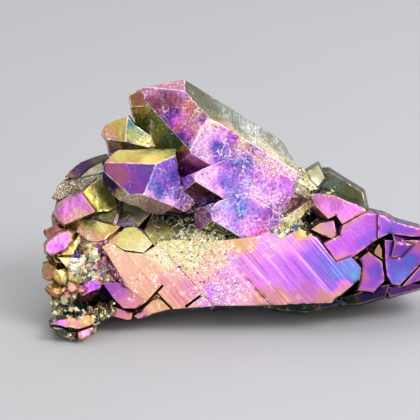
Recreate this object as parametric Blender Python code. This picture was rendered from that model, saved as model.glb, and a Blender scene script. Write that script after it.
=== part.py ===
"""A titanium-coated quartz cluster: one natural piece, grown together, resting on its own base.

The cluster is described in millimetres as it faces the viewer: right, up and away. Every point is
then leaned back by LEAN onto its resting face and written out in metres.
"""

import math
import random
from dataclasses import dataclass

import bmesh
import bpy
from mathutils import Matrix, Vector

MM = 0.001
LEAN = math.radians(20.0)  # how far the showing side leans back when the piece rests
GROUND = 0.6  # the broken base: everything below this height, once leaned back, is gone
RHOMB = math.radians(38.21)  # quartz: the angle from a prism face to the end face above it
STOCK = 60.0  # half size of the block every crystal is cleaved from
CRACK_DEPTH = 2.6
SEED = 29
SPOT_TRIES = 60  # spots tried for every small crystal wanted
PACKING = 0.42  # how near two small crystals stand, as a share of their summed widths
SPLAY = 0.28  # how unevenly small crystals lean from straight out
GIRTH = (0.38, 0.58)  # a prism face's distance from the long axis, in widths
SHOULDER = (-0.5, 0.15)  # an end face's height above `at`, in widths
ROOTED = 0.9  # how far a small crystal runs back into the rock, in widths
CORNER_REACH = 1.2  # the most a widened outline moves at a corner, for each unit its sides move
SLIVER = 0.001  # anything smaller than this is a leftover of a join
CUT_SNAP = 0.00001  # a point this near a cut lies on it


@dataclass(frozen=True)
class Crystal:
    """One quartz prism, given by how far each of its faces has grown from a point on its front."""

    name: str
    at: tuple[float, float, float]  # right, up, away
    aim: float  # the long axis, degrees anticlockwise from right
    tip: float  # the long axis, degrees away from the viewer
    spin: float  # turn about the long axis, degrees
    sides: tuple[float, ...]  # the six prism faces, from the front one round
    ends: tuple[float | None, ...]  # height of each end face where it meets its prism face
    root: float  # how far the prism runs back from `at`
    chips: tuple[tuple[float, float, float], ...] = ()  # broken faces: aim, tip, distance from `at`

    def planes(self) -> list[tuple[Vector, Vector]]:
        """The outward normal of every face and a point on it."""
        spin = math.radians(self.spin)
        axis = pointing(self.aim, self.tip)
        front = Vector((0, 0, -1))
        front = (front - front.dot(axis) * axis).normalized()
        across = front.cross(axis)
        at = Vector(self.at)
        found = [(-axis, at - axis * self.root)]
        for k, (out, height) in enumerate(zip(self.sides, self.ends)):
            turn = spin + math.radians(60.0 * k)
            normal = math.cos(turn) * front + math.sin(turn) * across
            found.append((normal, at + normal * out))
            if height is not None:
                end = math.cos(RHOMB) * normal + math.sin(RHOMB) * axis
                found.append((end, at + normal * out + axis * height))
        for aim, tip, reach in self.chips:
            normal = pointing(aim, tip)
            found.append((normal, at + normal * reach))
        return found

    def shape(self) -> bmesh.types.BMesh:
        """The closed prism with its end faces."""
        return cleave(self.planes(), Vector(self.at))


@dataclass(frozen=True)
class Block:
    """A stubby intergrown crystal seen face on: one outlined face with steep sides behind it."""

    name: str
    depth: float  # of the middle of the face
    back_right: float  # how fast the face falls away to the right
    back_up: float  # how fast it falls away upward
    thick: float
    flare: float  # how much wider it grows for each millimetre of depth
    outline: tuple[tuple[float, float], ...]  # right, up; anticlockwise
    chips: tuple[tuple[float, ...], ...] = ()  # more front faces: right, up, depth and two falls

    def shape(self) -> bmesh.types.BMesh:
        """The outlined face in front, a wider one behind it and the sides between them."""
        count = len(self.outline)
        mid_u = sum(u for u, _ in self.outline) / count
        mid_v = sum(v for _, v in self.outline) / count
        rear = widened(self.outline, self.flare * self.thick)
        mesh = bmesh.new()
        rings = []
        for ring, deeper in ((self.outline, 0.0), (rear, self.thick)):
            rings.append([
                mesh.verts.new((
                    u,
                    v,
                    self.depth + self.back_right * (u - mid_u) + self.back_up * (v - mid_v) + deeper,
                ))
                for u, v in ring
            ])
        front, back = rings
        mesh.faces.new(reversed(front))
        mesh.faces.new(back)
        for i, j in zip(range(count), [*range(1, count), 0]):
            mesh.faces.new((front[i], front[j], back[j], back[i]))
        faced_out(mesh)
        for *spot, back_right, back_up in self.chips:
            trim(mesh, Vector(spot), Vector((back_right, back_up, -1)).normalized())
        return faced_out(mesh)


@dataclass(frozen=True)
class Lump:
    """Broken matrix rock: the hull of points scattered on an ellipsoid."""

    name: str
    at: tuple[float, float, float]
    radii: tuple[float, float, float]
    points: int
    floor: float = -99.0  # nothing of it reaches below this height
    bulge: float = 1.0  # 1 is an ellipsoid; smaller is boxier

    def shape(self) -> bmesh.types.BMesh:
        """The closed, faceted lump."""
        dice = random.Random(f"{SEED} {self.name}")
        mesh = bmesh.new()
        for _ in range(self.points):
            way = Vector([dice.gauss(0, 1) for _ in range(3)]).normalized()
            way = Vector([math.copysign(abs(w) ** self.bulge, w) for w in way])
            spot = Vector([c + r * w for c, r, w in zip(self.at, self.radii, way)])
            spot.y = max(spot.y, self.floor)
            mesh.verts.new(spot)
        return hulled(mesh)


@dataclass(frozen=True)
class Swarm:
    """Small crystals standing on a rounded patch, each pointing roughly outward."""

    name: str
    at: tuple[float, float, float]
    radii: tuple[float, float, float]
    facing: tuple[float, float, float]  # the middle of the patch, as a direction from `at`
    reach: float  # half angle of the patch, degrees
    count: int
    widths: tuple[float, float]
    stands_out: float  # how far the tips reach beyond the patch, in widths

    def crystals(self) -> list[Crystal]:
        """The swarm's crystals, none of them too near another."""
        dice = random.Random(f"{SEED} {self.name}")
        facing = Vector(self.facing).normalized()
        limit = math.cos(math.radians(self.reach))
        grown: list[Crystal] = []
        spots: list[tuple[Vector, float]] = []
        for _ in range(self.count * SPOT_TRIES):
            if len(grown) == self.count:
                break
            way = Vector([dice.gauss(0, 1) for _ in range(3)]).normalized()
            if way.dot(facing) < limit:
                continue
            width = dice.uniform(*self.widths)
            spot = Vector([c + r * w for c, r, w in zip(self.at, self.radii, way)])
            if any((spot - other).length < PACKING * (width + size) for other, size in spots):
                continue
            spots.append((spot, width))
            way = (way + Vector([dice.gauss(0, SPLAY) for _ in range(3)])).normalized()
            grown.append(Crystal(
                f"{self.name}_{len(grown)}",
                at=tuple(spot + way * width * self.stands_out),
                aim=math.degrees(math.atan2(way.y, way.x)),
                tip=math.degrees(math.asin(way.z)),
                spin=dice.uniform(0, 60),
                sides=tuple(width * dice.uniform(*GIRTH) for _ in range(6)),
                ends=tuple(width * dice.uniform(*SHOULDER) for _ in range(6)),
                root=width * (self.stands_out + ROOTED),
            ))
        return grown


@dataclass(frozen=True)
class Crack:
    """A dark wedge-shaped crevice along a line across the showing side."""

    name: str
    line: tuple[tuple[float, float], ...]
    width: float
    front: float = -1.5
    depth: float = CRACK_DEPTH

    def shape(self) -> bmesh.types.BMesh:
        """A thin wedge along the line, wide in front and sharp at the back."""
        (ax, ay), (bx, by) = self.line
        along = Vector((bx - ax, by - ay, 0)).normalized()
        side = Vector((-along.y, along.x, 0)) * self.width / 2
        mesh = bmesh.new()
        for spot in (Vector((ax, ay, 0)), Vector((bx, by, 0))):
            for offset, deep in ((side, self.front), (-side, self.front), (Vector(), self.depth)):
                mesh.verts.new(spot + offset + Vector((0, 0, deep)))
        return hulled(mesh)


def pointing(aim: float, tip: float) -> Vector:
    """The direction `aim` degrees anticlockwise from right and `tip` degrees away."""
    turn, away = math.radians(aim), math.radians(tip)
    return Vector((math.cos(turn) * math.cos(away), math.sin(turn) * math.cos(away), math.sin(away)))


def cleave(planes: list[tuple[Vector, Vector]], centre: Vector) -> bmesh.types.BMesh:
    """Cut a large block down to the space behind every plane."""
    mesh = bmesh.new()
    bmesh.ops.create_cube(mesh, size=2 * STOCK, matrix=Matrix.Translation(centre))
    for normal, point in planes:
        trim(mesh, point, normal)
    return faced_out(mesh)


def trim(mesh: bmesh.types.BMesh, point: Vector, normal: Vector) -> None:
    """Cut away everything in front of a plane and close the cut."""
    cut = bmesh.ops.bisect_plane(
        mesh,
        geom=[*mesh.verts, *mesh.edges, *mesh.faces],
        plane_co=point,
        plane_no=normal,
        dist=CUT_SNAP,
        clear_outer=True,
    )
    rim = [e for e in cut["geom_cut"] if isinstance(e, bmesh.types.BMEdge)]
    if rim:
        bmesh.ops.edgeloop_fill(mesh, edges=rim)


def hulled(mesh: bmesh.types.BMesh) -> bmesh.types.BMesh:
    """The convex hull of the mesh's points."""
    made = bmesh.ops.convex_hull(mesh, input=mesh.verts)
    inside = [v for v in made["geom_interior"] if isinstance(v, bmesh.types.BMVert)]
    bmesh.ops.delete(mesh, geom=inside, context="VERTS")
    return faced_out(mesh)


def faced_out(mesh: bmesh.types.BMesh) -> bmesh.types.BMesh:
    """The same mesh with every face turned outward."""
    bmesh.ops.recalc_face_normals(mesh, faces=mesh.faces)
    return mesh


def widened(outline: tuple[tuple[float, float], ...], out: float) -> list[tuple[float, float]]:
    """Move every side of an anticlockwise outline outward by `out`."""
    count = len(outline)
    moved = []
    for i in range(count):
        here = Vector(outline[i])
        before = (here - Vector(outline[i - 1])).normalized()
        after = (Vector(outline[(i + 1) % count]) - here).normalized()
        normal = Vector((before.y + after.y, -before.x - after.x))
        reach = min(2.0 / max(normal.length_squared, SLIVER), CORNER_REACH)
        moved.append(tuple(here + normal * out * reach))
    return moved


def as_object(name: str, mesh: bmesh.types.BMesh) -> bpy.types.Object:
    """Put a mesh in the scene as an object and free it."""
    data = bpy.data.meshes.new(name)
    mesh.to_mesh(data)
    mesh.free()
    made = bpy.data.objects.new(name, data)
    bpy.context.collection.objects.link(made)
    return made


def combine(base: bpy.types.Object, tool: bpy.types.Object, how: str) -> None:
    """Join the tool to the base, or cut it away, then drop the tool."""
    step = base.modifiers.new(how, "BOOLEAN")
    step.operation = how
    step.solver = "EXACT"
    step.object = tool
    settled = base.evaluated_get(bpy.context.evaluated_depsgraph_get())
    result = bpy.data.meshes.new_from_object(settled)
    base.modifiers.remove(step)
    spent = base.data
    base.data = result
    bpy.data.meshes.remove(spent)
    bpy.data.objects.remove(tool)


CRYSTALS = (
    Crystal("crown", at=(-4.6, 27.0, -1.15), aim=148.8, tip=-16.8, spin=6.35,
            sides=(0.0, 0.0, 5.4, 8.2, 8.35, 4.25),
            ends=(0.0, 3.4, 3.7, 5.3, 7.0, -0.3), root=13.6, chips=((46, 0, 4.25), (28, 0, 6.75),)),
    Crystal("crown_step", at=(-4.6, 27.0, -1.35), aim=148.8, tip=-16.8, spin=6.35,
            sides=(0.0, -1.0, 2.5, 7.0, 10.0, 6.5),
            ends=(-2.3, 3.5, 5.0, 5.0, 1.0, -2.5), root=14.1, chips=((168, 0, 2.35), (112.5, 0, -5.5),)),
    Crystal("crown_foot", at=(-4.6, 27.0, -1.45), aim=148.8, tip=-16.8, spin=6.35,
            sides=(0.0, -4.75, -1.75, 6.0, 12.05, 9.05),
            ends=(-6.1, 0.0, 2.0, 2.0, -4.0, -6.8), root=14.4, chips=((178, 0, 1.35), (107, 0, -10.0),)),
    Crystal("left_point", at=(-10.85, 21.35, -1.5), aim=158, tip=-28, spin=0,
            sides=(0.0, 1.65, 4.75, 6.2, 6.55, 3.45),
            ends=(0.0, -2.1, -0.15, 1.45, 6.0, 1.35), root=4.6, chips=((8, 0, 2.5), (91.5, 0, 1.85),)),
)

BLOCKS = (
    Block("crown_tip", depth=1.75, back_right=0, back_up=0.3, thick=4, flare=0.05, outline=(
        (-13.95, 28.2), (-12.05, 28.35), (-11.7, 29.45), (-12.9, 30.25), (-14.05, 29.85),
        (-14.2, 29.35))),
    Block("tip_fin", depth=3.6, back_right=-1.1, back_up=-0.46, thick=4, flare=0.04, outline=(
        (-13.85, 27.4), (-12.95, 26.3), (-11.7, 25.5), (-11.95, 27.45), (-12.9, 28.45),
        (-14.05, 28.35))),
    Block("gold_end", depth=2.2, back_right=-0.35, back_up=0.2, thick=5, flare=0.04, outline=(
        (-17.0, 24.3), (-14.6, 24.05), (-11.65, 23.4), (-10.35, 23.95), (-13.5, 26.1),
        (-14.35, 27.25), (-15.85, 26.75), (-17.15, 26.15), (-17.65, 25.15)
    ), chips=((-14.45, 25.5, 2.2, 0.29, 0.15),)),
    Block("gold_sill", depth=4.5, back_right=0.1, back_up=-0.4, thick=4, flare=0.05, outline=(
        (-16.7, 22.65), (-14.4, 23.1), (-11.75, 23.15), (-10.75, 23.7), (-10.65, 24.25),
        (-14.5, 24.6), (-17.1, 24.55))),
    Block("crevice_back", depth=3.2, back_right=0.1, back_up=0.1, thick=5, flare=0.05, outline=(
        (-8.8, 19.25), (-8.05, 18.4), (-6.5, 18.75), (-6.4, 20.45), (-7.35, 21.15),
        (-8.8, 20.95))),
    Block("crown_rim", depth=3.1, back_right=0.33, back_up=-0.05, thick=4, flare=0.15, outline=(
        (6.45, 16.2), (1.1, 12.8), (1.85, 12.35), (4.75, 12.7), (8.05, 16.45),
        (7.55, 17.15))),
    Block("crown_chip", depth=2.9, back_right=0.5, back_up=-0.2, thick=3, flare=0.1, outline=(
        (5.85, 18.0), (7.55, 17.05), (7.7, 18.4), (5.7, 19.45))),
    Block("crown_end", depth=4.0, back_right=0.4, back_up=0.1, thick=4, flare=0.06, outline=(
        (6.35, 19.0), (7.7, 18.15), (8.7, 18.35), (8.45, 18.7), (7.7, 19.35), (7.25, 20.35),
        (6.85, 20.9), (6.25, 20.8))),
    Block("haze_top", depth=8.6, back_right=-0.1, back_up=0.35, thick=5, flare=0.02, outline=(
        (-20.9, 19.5), (-17.95, 20.75), (-16.5, 22.0), (-17.25, 22.9), (-18.7, 22.5),
        (-20.45, 21.8), (-21.65, 20.9), (-22.4, 19.9))),
    Block("haze_gold", depth=6.6, back_right=-0.3, back_up=0.3, thick=4, flare=0.06, outline=(
        (-20.45, 19.35), (-18.75, 19.95), (-17.4, 20.5), (-17.65, 21.75), (-19.25, 20.85),
        (-20.45, 19.75))),
    Block("grey_strip", depth=4.9, back_right=-0.1, back_up=0.45, thick=4, flare=0.08, outline=(
        (-22.65, 17.2), (-20.25, 18.15), (-19.05, 18.65), (-17.35, 19.5), (-17.6, 20.2),
        (-20.75, 19.5), (-22.25, 19.35), (-22.95, 18.65), (-23.55, 17.4))),
    Block("rose_end", depth=-0.3, back_right=-0.3, back_up=0.1, thick=5, flare=0.1, outline=(
        (-23.1, 15.5), (-22.0, 14.0), (-19.8, 14.9), (-18.15, 15.65), (-19.85, 17.95),
        (-21.0, 17.5), (-22.65, 16.45))),
    Block("rose_side", depth=1.6, back_right=0.5, back_up=0.42, thick=4, flare=0.06, outline=(
        (-18.1, 15.65), (-16.7, 15.65), (-15.55, 16.3), (-16.55, 18.5), (-17.5, 19.95),
        (-18.9, 18.85), (-19.75, 17.95))),
    Block("heath", depth=3.2, back_right=0.15, back_up=0.6, thick=4, flare=0.15, outline=(
        (-17.35, 15.0), (-16.15, 13.8), (-13.15, 13.8), (-11.45, 15.6), (-12.2, 17.4),
        (-16.35, 17.65), (-18.3, 19.25))),
    Block("plum_end", depth=-1.3, back_right=-0.28, back_up=0.05, thick=5, flare=0.1, outline=(
        (-24.2, 11.55), (-24.15, 10.85), (-23.35, 10.4), (-21.75, 11.1), (-21.05, 12.05),
        (-20.75, 13.1), (-21.55, 13.4), (-22.45, 13.1), (-23.95, 12.05))),
    Block("ledge_left", depth=0.5, back_right=0.05, back_up=0.5, thick=4, flare=0.08, outline=(
        (-19.3, 12.25), (-18.0, 12.05), (-16.9, 12.3), (-15.15, 13.9), (-17.3, 14.3),
        (-18.55, 14.75), (-19.85, 14.65), (-20.55, 13.3))),
    Block("ledge_mid", depth=0.35, back_right=0.03, back_up=0.42, thick=4, flare=0.08, outline=(
        (-14.75, 11.05), (-12.45, 10.75), (-11.35, 11.75), (-12.6, 13.35), (-13.6, 13.9),
        (-14.65, 13.75), (-16.7, 12.05))),
    Block("ledge_slope", depth=1.7, back_right=0, back_up=0.62, thick=5, flare=0.12, outline=(
        (-11.05, 11.4), (-3.7, 11.5), (-2.4, 12.25), (-4.2, 14.65), (-6.85, 15.1),
        (-11.35, 15.5), (-12.4, 13.3))),
    Block("wedge_gold", depth=-0.6, back_right=-0.1, back_up=0.3, thick=3, flare=0.06, outline=(
        (-20.85, 10.4), (-19.9, 12.25), (-20.05, 13.2), (-21.0, 12.05), (-21.8, 11.05),
        (-22.75, 10.4))),
    Block("wedge_pale", depth=-0.5, back_right=-0.05, back_up=-0.2, thick=4, flare=0.08, outline=(
        (-21.7, 8.9), (-20.75, 8.9), (-20.15, 10.1), (-20.85, 10.2), (-22.75, 10.2))),
    Block("front_left", depth=0.0, back_right=0, back_up=0, thick=5, flare=0.1, outline=(
        (-16.9, 10.7), (-15.5, 8.4), (-14.5, 6.65), (-12.1, 4.7), (-10.7, 5.65),
        (-9.0, 3.95), (-4.1, 4.3), (-10.8, 11.9), (-11.15, 11.45), (-12.5, 10.6),
        (-14.65, 10.85), (-16.45, 12.0), (-17.5, 11.4))),
    Block("front_mid", depth=0.0, back_right=0, back_up=0, thick=5, flare=0.16, outline=(
        (-3.95, 4.3), (2.75, 4.4), (-4.1, 12.25), (-8.65, 12.25), (-10.9, 12.0))),
    Block("front_right", depth=0.0, back_right=0, back_up=0, thick=5, flare=0.16, outline=(
        (2.9, 4.4), (10.1, 4.7), (13.5, 7.5), (13.7, 8.9), (12.5, 10.2), (10.7, 9.55),
        (8.3, 12.55), (6.35, 13.7), (4.45, 12.6), (3.1, 13.45), (1.2, 12.65), (-2.5, 12.25),
        (-4.2, 12.1))),
    Block("front_sill", depth=0.35, back_right=0, back_up=0.1, thick=4, flare=0.08, outline=(
        (-13.55, 3.1), (-13.1, 2.8), (-11.75, 3.15), (-11.4, 3.4), (-9.15, 3.95),
        (-10.8, 5.5), (-12.5, 3.95))),
    Block("front_toe", depth=0.25, back_right=0, back_up=0.25, thick=4, flare=0.06, outline=(
        (-16.7, 3.3), (-15.75, 3.0), (-14.4, 2.65), (-13.9, 2.75), (-13.75, 3.45),
        (-14.9, 3.85), (-15.95, 4.2), (-16.65, 3.85))),
    Block("yellow_step", depth=0.9, back_right=0.2, back_up=0.4, thick=3, flare=0.1, outline=(
        (6.55, 12.45), (7.7, 12.7), (7.2, 13.5), (6.15, 13.2))),
    Block("front_flank", depth=0.9, back_right=-1.1, back_up=0.0, thick=4, flare=0.1, outline=(
        (-16.5, 8.4), (-15.25, 7.2), (-14.5, 6.75), (-15.4, 8.4), (-16.9, 10.65),
        (-17.6, 11.45), (-18.35, 11.6))),
    Block("lobe_red", depth=1.6, back_right=-0.5, back_up=0.2, thick=4, flare=0.08, outline=(
        (-24.7, 7.75), (-24.1, 7.4), (-23.0, 7.65), (-22.35, 8.5), (-23.25, 9.2),
        (-23.85, 9.45), (-24.6, 9.2))),
    Block("lobe_amber", depth=1.2, back_right=-0.5, back_up=0.1, thick=3.5, flare=0.06, outline=(
        (-23.35, 5.6), (-22.75, 5.45), (-22.2, 5.85), (-22.25, 6.8), (-22.85, 6.95),
        (-23.35, 6.1))),
    Block("lobe_pink", depth=-0.3, back_right=-0.2, back_up=0.2, thick=3, flare=0.06, outline=(
        (-21.95, 5.3), (-20.95, 5.4), (-20.75, 6.6), (-21.45, 6.9), (-22.05, 6.35))),
    Block("lobe_olive", depth=-0.6, back_right=0.3, back_up=0.2, thick=3, flare=0.05, outline=(
        (-20.95, 5.45), (-20.5, 4.95), (-20.25, 5.9), (-20.05, 7.2), (-20.85, 6.4))),
    Block("shard_a", depth=2.6, back_right=-0.1, back_up=0.6, thick=3, flare=0.05, outline=(
        (-17.35, 14.75), (-16.25, 14.35), (-14.8, 14.5), (-14.0, 15.35), (-15.8, 15.9),
        (-17.4, 15.7))),
    Block("shard_b", depth=3.4, back_right=0.2, back_up=0.5, thick=3, flare=0.05, outline=(
        (-13.65, 13.9), (-12.8, 14.4), (-13.65, 15.5), (-14.6, 14.65))),
    Block("point_heel", depth=0.9, back_right=0.49, back_up=-0.2, thick=4, flare=0.0, outline=(
        (-9.7, 16.55), (-7.4, 15.6), (-6.95, 15.9), (-6.3, 16.5), (-6.35, 17.8),
        (-7.15, 18.25), (-8.15, 18.9), (-9.5, 19.2))),
    Block("crevice_gem", depth=1.9, back_right=0.2, back_up=-0.6, thick=3, flare=0.05, outline=(
        (-6.25, 14.65), (-4.15, 14.75), (-3.7, 16.7), (-4.8, 16.8), (-6.35, 16.2))),
    Block("east_a", depth=1.9, back_right=0.1, back_up=0.28, thick=5, flare=0.14, outline=(
        (8.1, 16.5), (9.8, 14.8), (10.75, 15.2), (11.5, 14.15), (14.4, 15.7), (14.15, 16.2),
        (12.0, 16.95), (10.65, 17.6), (8.55, 17.9), (7.75, 17.55))),
    Block("east_b", depth=1.2, back_right=-0.1, back_up=0.3, thick=4, flare=0.14, outline=(
        (9.15, 12.85), (10.25, 12.4), (10.8, 12.85), (10.45, 14.55), (8.8, 14.25),
        (7.75, 13.5))),
    Block("east_c", depth=0.7, back_right=0.08, back_up=0.12, thick=5, flare=0.12, outline=(
        (11.55, 14.0), (11.2, 12.85), (9.25, 11.8), (10.8, 9.65), (11.65, 9.7),
        (12.85, 10.3), (16.0, 12.55), (16.05, 15.25), (14.55, 15.65))),
    Block("east_g", depth=0.95, back_right=0.1, back_up=0.14, thick=5, flare=0.12, outline=(
        (15.75, 12.4), (17.1, 13.0), (19.85, 12.65), (22.3, 12.7), (20.85, 13.6),
        (17.95, 14.4), (16.85, 15.05), (15.75, 15.35))),
    Block("east_d", depth=0.5, back_right=-0.12, back_up=-0.06, thick=5, flare=0.12, outline=(
        (13.55, 9.95), (13.9, 9.1), (13.3, 6.2), (15.25, 6.0), (16.55, 7.4), (16.2, 9.65),
        (14.6, 10.8))),
    Block("east_e", depth=1.0, back_right=0.1, back_up=-0.08, thick=5, flare=0.12, outline=(
        (16.65, 9.6), (16.85, 8.0), (17.5, 6.9), (18.4, 6.8), (20.85, 9.3), (23.15, 10.3),
        (22.8, 11.5), (20.85, 12.25), (17.9, 12.15), (16.55, 12.25))),
    Block("east_f", depth=1.9, back_right=0.1, back_up=-0.1, thick=4, flare=0.1, outline=(
        (20.9, 9.05), (18.65, 6.55), (21.4, 7.5), (23.45, 8.85), (23.3, 10.15))),
    Block("east_chip", depth=1.0, back_right=-0.1, back_up=0.1, thick=3, flare=0.08, outline=(
        (16.2, 9.95), (16.25, 11.05), (15.9, 11.8), (15.2, 10.7))),
    Block("olive_top", depth=8.0, back_right=0.15, back_up=0.4, thick=5, flare=0.12, outline=(
        (8.05, 18.3), (8.8, 17.05), (12.1, 16.2), (14.7, 16.35), (14.35, 18.05),
        (11.85, 19.6), (10.3, 20.6), (8.6, 20.65))),
    Block("olive_end", depth=6.3, back_right=-0.3, back_up=0.2, thick=4, flare=0.1, outline=(
        (7.8, 18.9), (8.8, 18.75), (9.55, 19.8), (8.8, 21.4), (7.4, 20.55))),
    Block("keel_a", depth=1.8, back_right=0, back_up=-0.5, thick=4, flare=0.1, outline=(
        (2.05, 4.1), (4.0, 3.75), (7.25, 3.5), (11.85, 4.65), (11.45, 5.0), (1.85, 4.5))),
    Block("keel_b", depth=2.8, back_right=0.05, back_up=-0.5, thick=4, flare=0.1, outline=(
        (11.55, 4.35), (13.5, 4.4), (16.75, 5.3), (17.3, 6.9), (15.15, 6.3), (11.3, 5.2))),
    Block("keel_c", depth=3.2, back_right=0.05, back_up=-0.4, thick=4, flare=0.1, outline=(
        (17.4, 5.3), (22.2, 6.65), (23.0, 7.85), (21.0, 7.0), (16.75, 6.4))),
    Block("lobe_plum", depth=0.1, back_right=-0.1, back_up=0.2, thick=4, flare=0.08, outline=(
        (-15.85, 5.05), (-14.85, 4.05), (-13.3, 4.05), (-12.1, 4.8), (-14.4, 6.6),
        (-15.3, 7.15), (-17.45, 7.1))),
    Block("lobe_violet", depth=-0.9, back_right=-0.2, back_up=0.3, thick=3.5, flare=0.06, outline=(
        (-20.1, 5.65), (-19.25, 5.1), (-18.55, 5.3), (-18.0, 5.95), (-17.5, 6.7),
        (-17.4, 7.1), (-18.35, 7.5), (-19.05, 7.35), (-19.75, 6.85), (-20.2, 6.4))),
    Block("cave_back", depth=5.0, back_right=0, back_up=-0.3, thick=4, flare=0.05, outline=(
        (-20.75, 4.15), (-19.8, 3.4), (-18.2, 3.05), (-16.6, 3.3), (-14.9, 3.4),
        (-14.9, 4.9), (-16.35, 5.15), (-18.4, 5.4), (-20.5, 5.15))),
    Block("lobe_bridge", depth=-1.2, back_right=-0.3, back_up=0.35, thick=4, flare=0.06, outline=(
        (-19.05, 2.8), (-18.3, 2.1), (-17.7, 2.45), (-17.1, 2.75), (-16.4, 3.05),
        (-15.9, 3.9), (-16.3, 4.65), (-17.25, 4.35), (-18.2, 4.05), (-19.3, 3.75))),
    Block("lobe_toe_a", depth=-2.4, back_right=-0.2, back_up=0.45, thick=3.5, flare=0.06, outline=(
        (-21.6, 1.8), (-20.15, 1.6), (-18.6, 2.15), (-17.9, 2.65), (-18.25, 3.1),
        (-19.25, 3.5), (-20.3, 2.9), (-21.05, 3.2), (-22.0, 2.95), (-23.55, 2.25))),
    Block("lobe_toe_b", depth=-2.2, back_right=-0.1, back_up=-0.5, thick=3.5, flare=0.03, outline=(
        (-23.05, 1.25), (-21.65, 0.45), (-20.55, 0.2), (-20.4, 1.3), (-21.25, 1.3),
        (-21.85, 1.7), (-23.7, 1.95))),
    Block("lobe_toe_c", depth=-2.3, back_right=0.2, back_up=0.15, thick=3.5, flare=0.03, outline=(
        (-20.15, 0.25), (-19.45, 0.4), (-18.75, 0.9), (-18.2, 1.75), (-18.5, 2.0),
        (-20.3, 1.35))),
)

LUMPS = (
    Lump("matrix", at=(0.5, 9.2, 9.6), radii=(17.0, 4.4, 7.4), points=70, floor=4.75, bulge=0.6),
    Lump("matrix_left", at=(-18.3, 11.5, 6.6), radii=(4.4, 7.6, 5.4), points=60, bulge=0.65),
    Lump("matrix_top", at=(-3.0, 14.5, 10.5), radii=(12.5, 5.0, 6.0), points=54, bulge=0.7),
    Lump("matrix_right", at=(15.0, 9.8, 6.8), radii=(7.0, 3.2, 4.6), points=44, floor=5.8, bulge=0.65),
    Lump("matrix_far", at=(11.2, 13.4, 9.0), radii=(3.8, 3.2, 3.4), points=34, bulge=0.7),
    Lump("heel_left", at=(-10.0, 8.8, 15.0), radii=(6.0, 3.6, 4.0), points=34, bulge=0.75),
    Lump("heel_right", at=(8.5, 9.0, 15.4), radii=(6.5, 3.6, 4.0), points=34, bulge=0.75),
)

REAR = (
    Crystal("rear_a", at=(-9.5, 17.5, 20.5), aim=118.0, tip=52.0, spin=12.0,
            sides=(2.6, 3.0, 2.4, 2.8, 3.1, 2.5), ends=(-1.5, -0.4, -2.2, -0.8, -1.8, 0.0), root=9.0),
    Crystal("rear_b", at=(3.5, 16.0, 21.0), aim=62.0, tip=58.0, spin=40.0,
            sides=(3.2, 2.6, 3.0, 3.3, 2.7, 3.1), ends=(-0.6, -2.0, -1.0, -2.4, 0.2, -1.6), root=9.5),
    Crystal("rear_c", at=(12.5, 13.0, 18.0), aim=28.0, tip=48.0, spin=20.0,
            sides=(2.2, 2.6, 2.3, 2.0, 2.4, 2.5), ends=(-1.2, 0.0, -1.6, -0.8, -2.0, -0.4), root=8.0),
    Crystal("rear_d", at=(-18.5, 14.5, 14.5), aim=160.0, tip=45.0, spin=5.0,
            sides=(2.3, 2.0, 2.5, 2.2, 2.6, 2.1), ends=(-0.4, -1.4, 0.0, -1.8, -0.9, -1.2), root=8.0),
    Crystal("rear_e", at=(-3.5, 9.5, 22.0), aim=200.0, tip=72.0, spin=28.0,
            sides=(2.8, 2.5, 3.0, 2.6, 2.9, 2.4), ends=(-1.0, -1.8, -0.2, -2.0, -0.6, -1.4), root=7.0),
    Crystal("rear_f", at=(-15.5, 7.5, 17.5), aim=205.0, tip=50.0, spin=50.0,
            sides=(1.9, 2.2, 2.0, 2.3, 1.8, 2.1), ends=(-0.8, 0.0, -1.4, -0.5, -1.6, -0.2), root=7.0),
    Crystal("east_tip_a", at=(23.3, 10.6, 4.6), aim=-8.0, tip=22.0, spin=15.0,
            sides=(1.9, 1.6, 2.0, 1.8, 1.5, 1.9), ends=(-0.9, 0.0, -1.2, -0.6, -1.5, -0.3), root=7.0),
    Crystal("east_tip_b", at=(21.4, 12.2, 8.2), aim=22.0, tip=38.0, spin=33.0,
            sides=(1.7, 1.9, 1.6, 1.8, 2.0, 1.6), ends=(-0.3, -1.1, 0.0, -1.3, -0.7, -0.9), root=7.0),
    Crystal("east_tip_c", at=(20.5, 8.2, 10.0), aim=-15.0, tip=48.0, spin=48.0,
            sides=(1.8, 1.5, 1.7, 1.9, 1.6, 1.8), ends=(-1.0, -0.2, -1.3, 0.0, -0.8, -0.5), root=7.0),
)

SWARMS = (
    Swarm("lobe", at=(-19.6, 6.4, 3.4), radii=(3.9, 5.2, 4.2), facing=(-0.8, -0.15, -0.5),
          reach=66.0, count=20, widths=(1.1, 2.2), stands_out=0.4),
    Swarm("lobe_back", at=(-18.5, 11.5, 7.0), radii=(5.0, 7.4, 6.0), facing=(-0.8, 0.05, 0.6),
          reach=66.0, count=20, widths=(1.8, 3.4), stands_out=0.35),
    Swarm("crest", at=(-3.0, 13.2, 11.0), radii=(12.4, 6.0, 7.0), facing=(0.0, 0.4, 0.92),
          reach=66.0, count=24, widths=(2.0, 4.0), stands_out=0.4),
    Swarm("east_back", at=(14.3, 9.9, 8.2), radii=(6.6, 4.4, 5.4), facing=(0.45, -0.05, 0.88),
          reach=62.0, count=13, widths=(1.6, 3.0), stands_out=0.35),
    Swarm("drift", at=(-17.6, 9.2, 2.2), radii=(2.8, 3.2, 1.5), facing=(0.0, 0.0, -1.0),
          reach=62.0, count=15, widths=(0.8, 1.4), stands_out=0.3),
)

PITS = (
    Lump("lobe_cave", at=(-18.3, 4.9, -0.4), radii=(2.5, 1.7, 3.4), points=30),
)

CRACKS = (
    Crack("sill_crack_a", line=((-13.0, 3.6), (-10.1, 6.8)), width=0.45),
    Crack("sill_crack_b", line=((-10.9, 5.9), (-8.9, 3.8)), width=0.4),
    Crack("sill_crack_c", line=((-7.4, 4.2), (-5.5, 5.6)), width=0.4),
)


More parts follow.
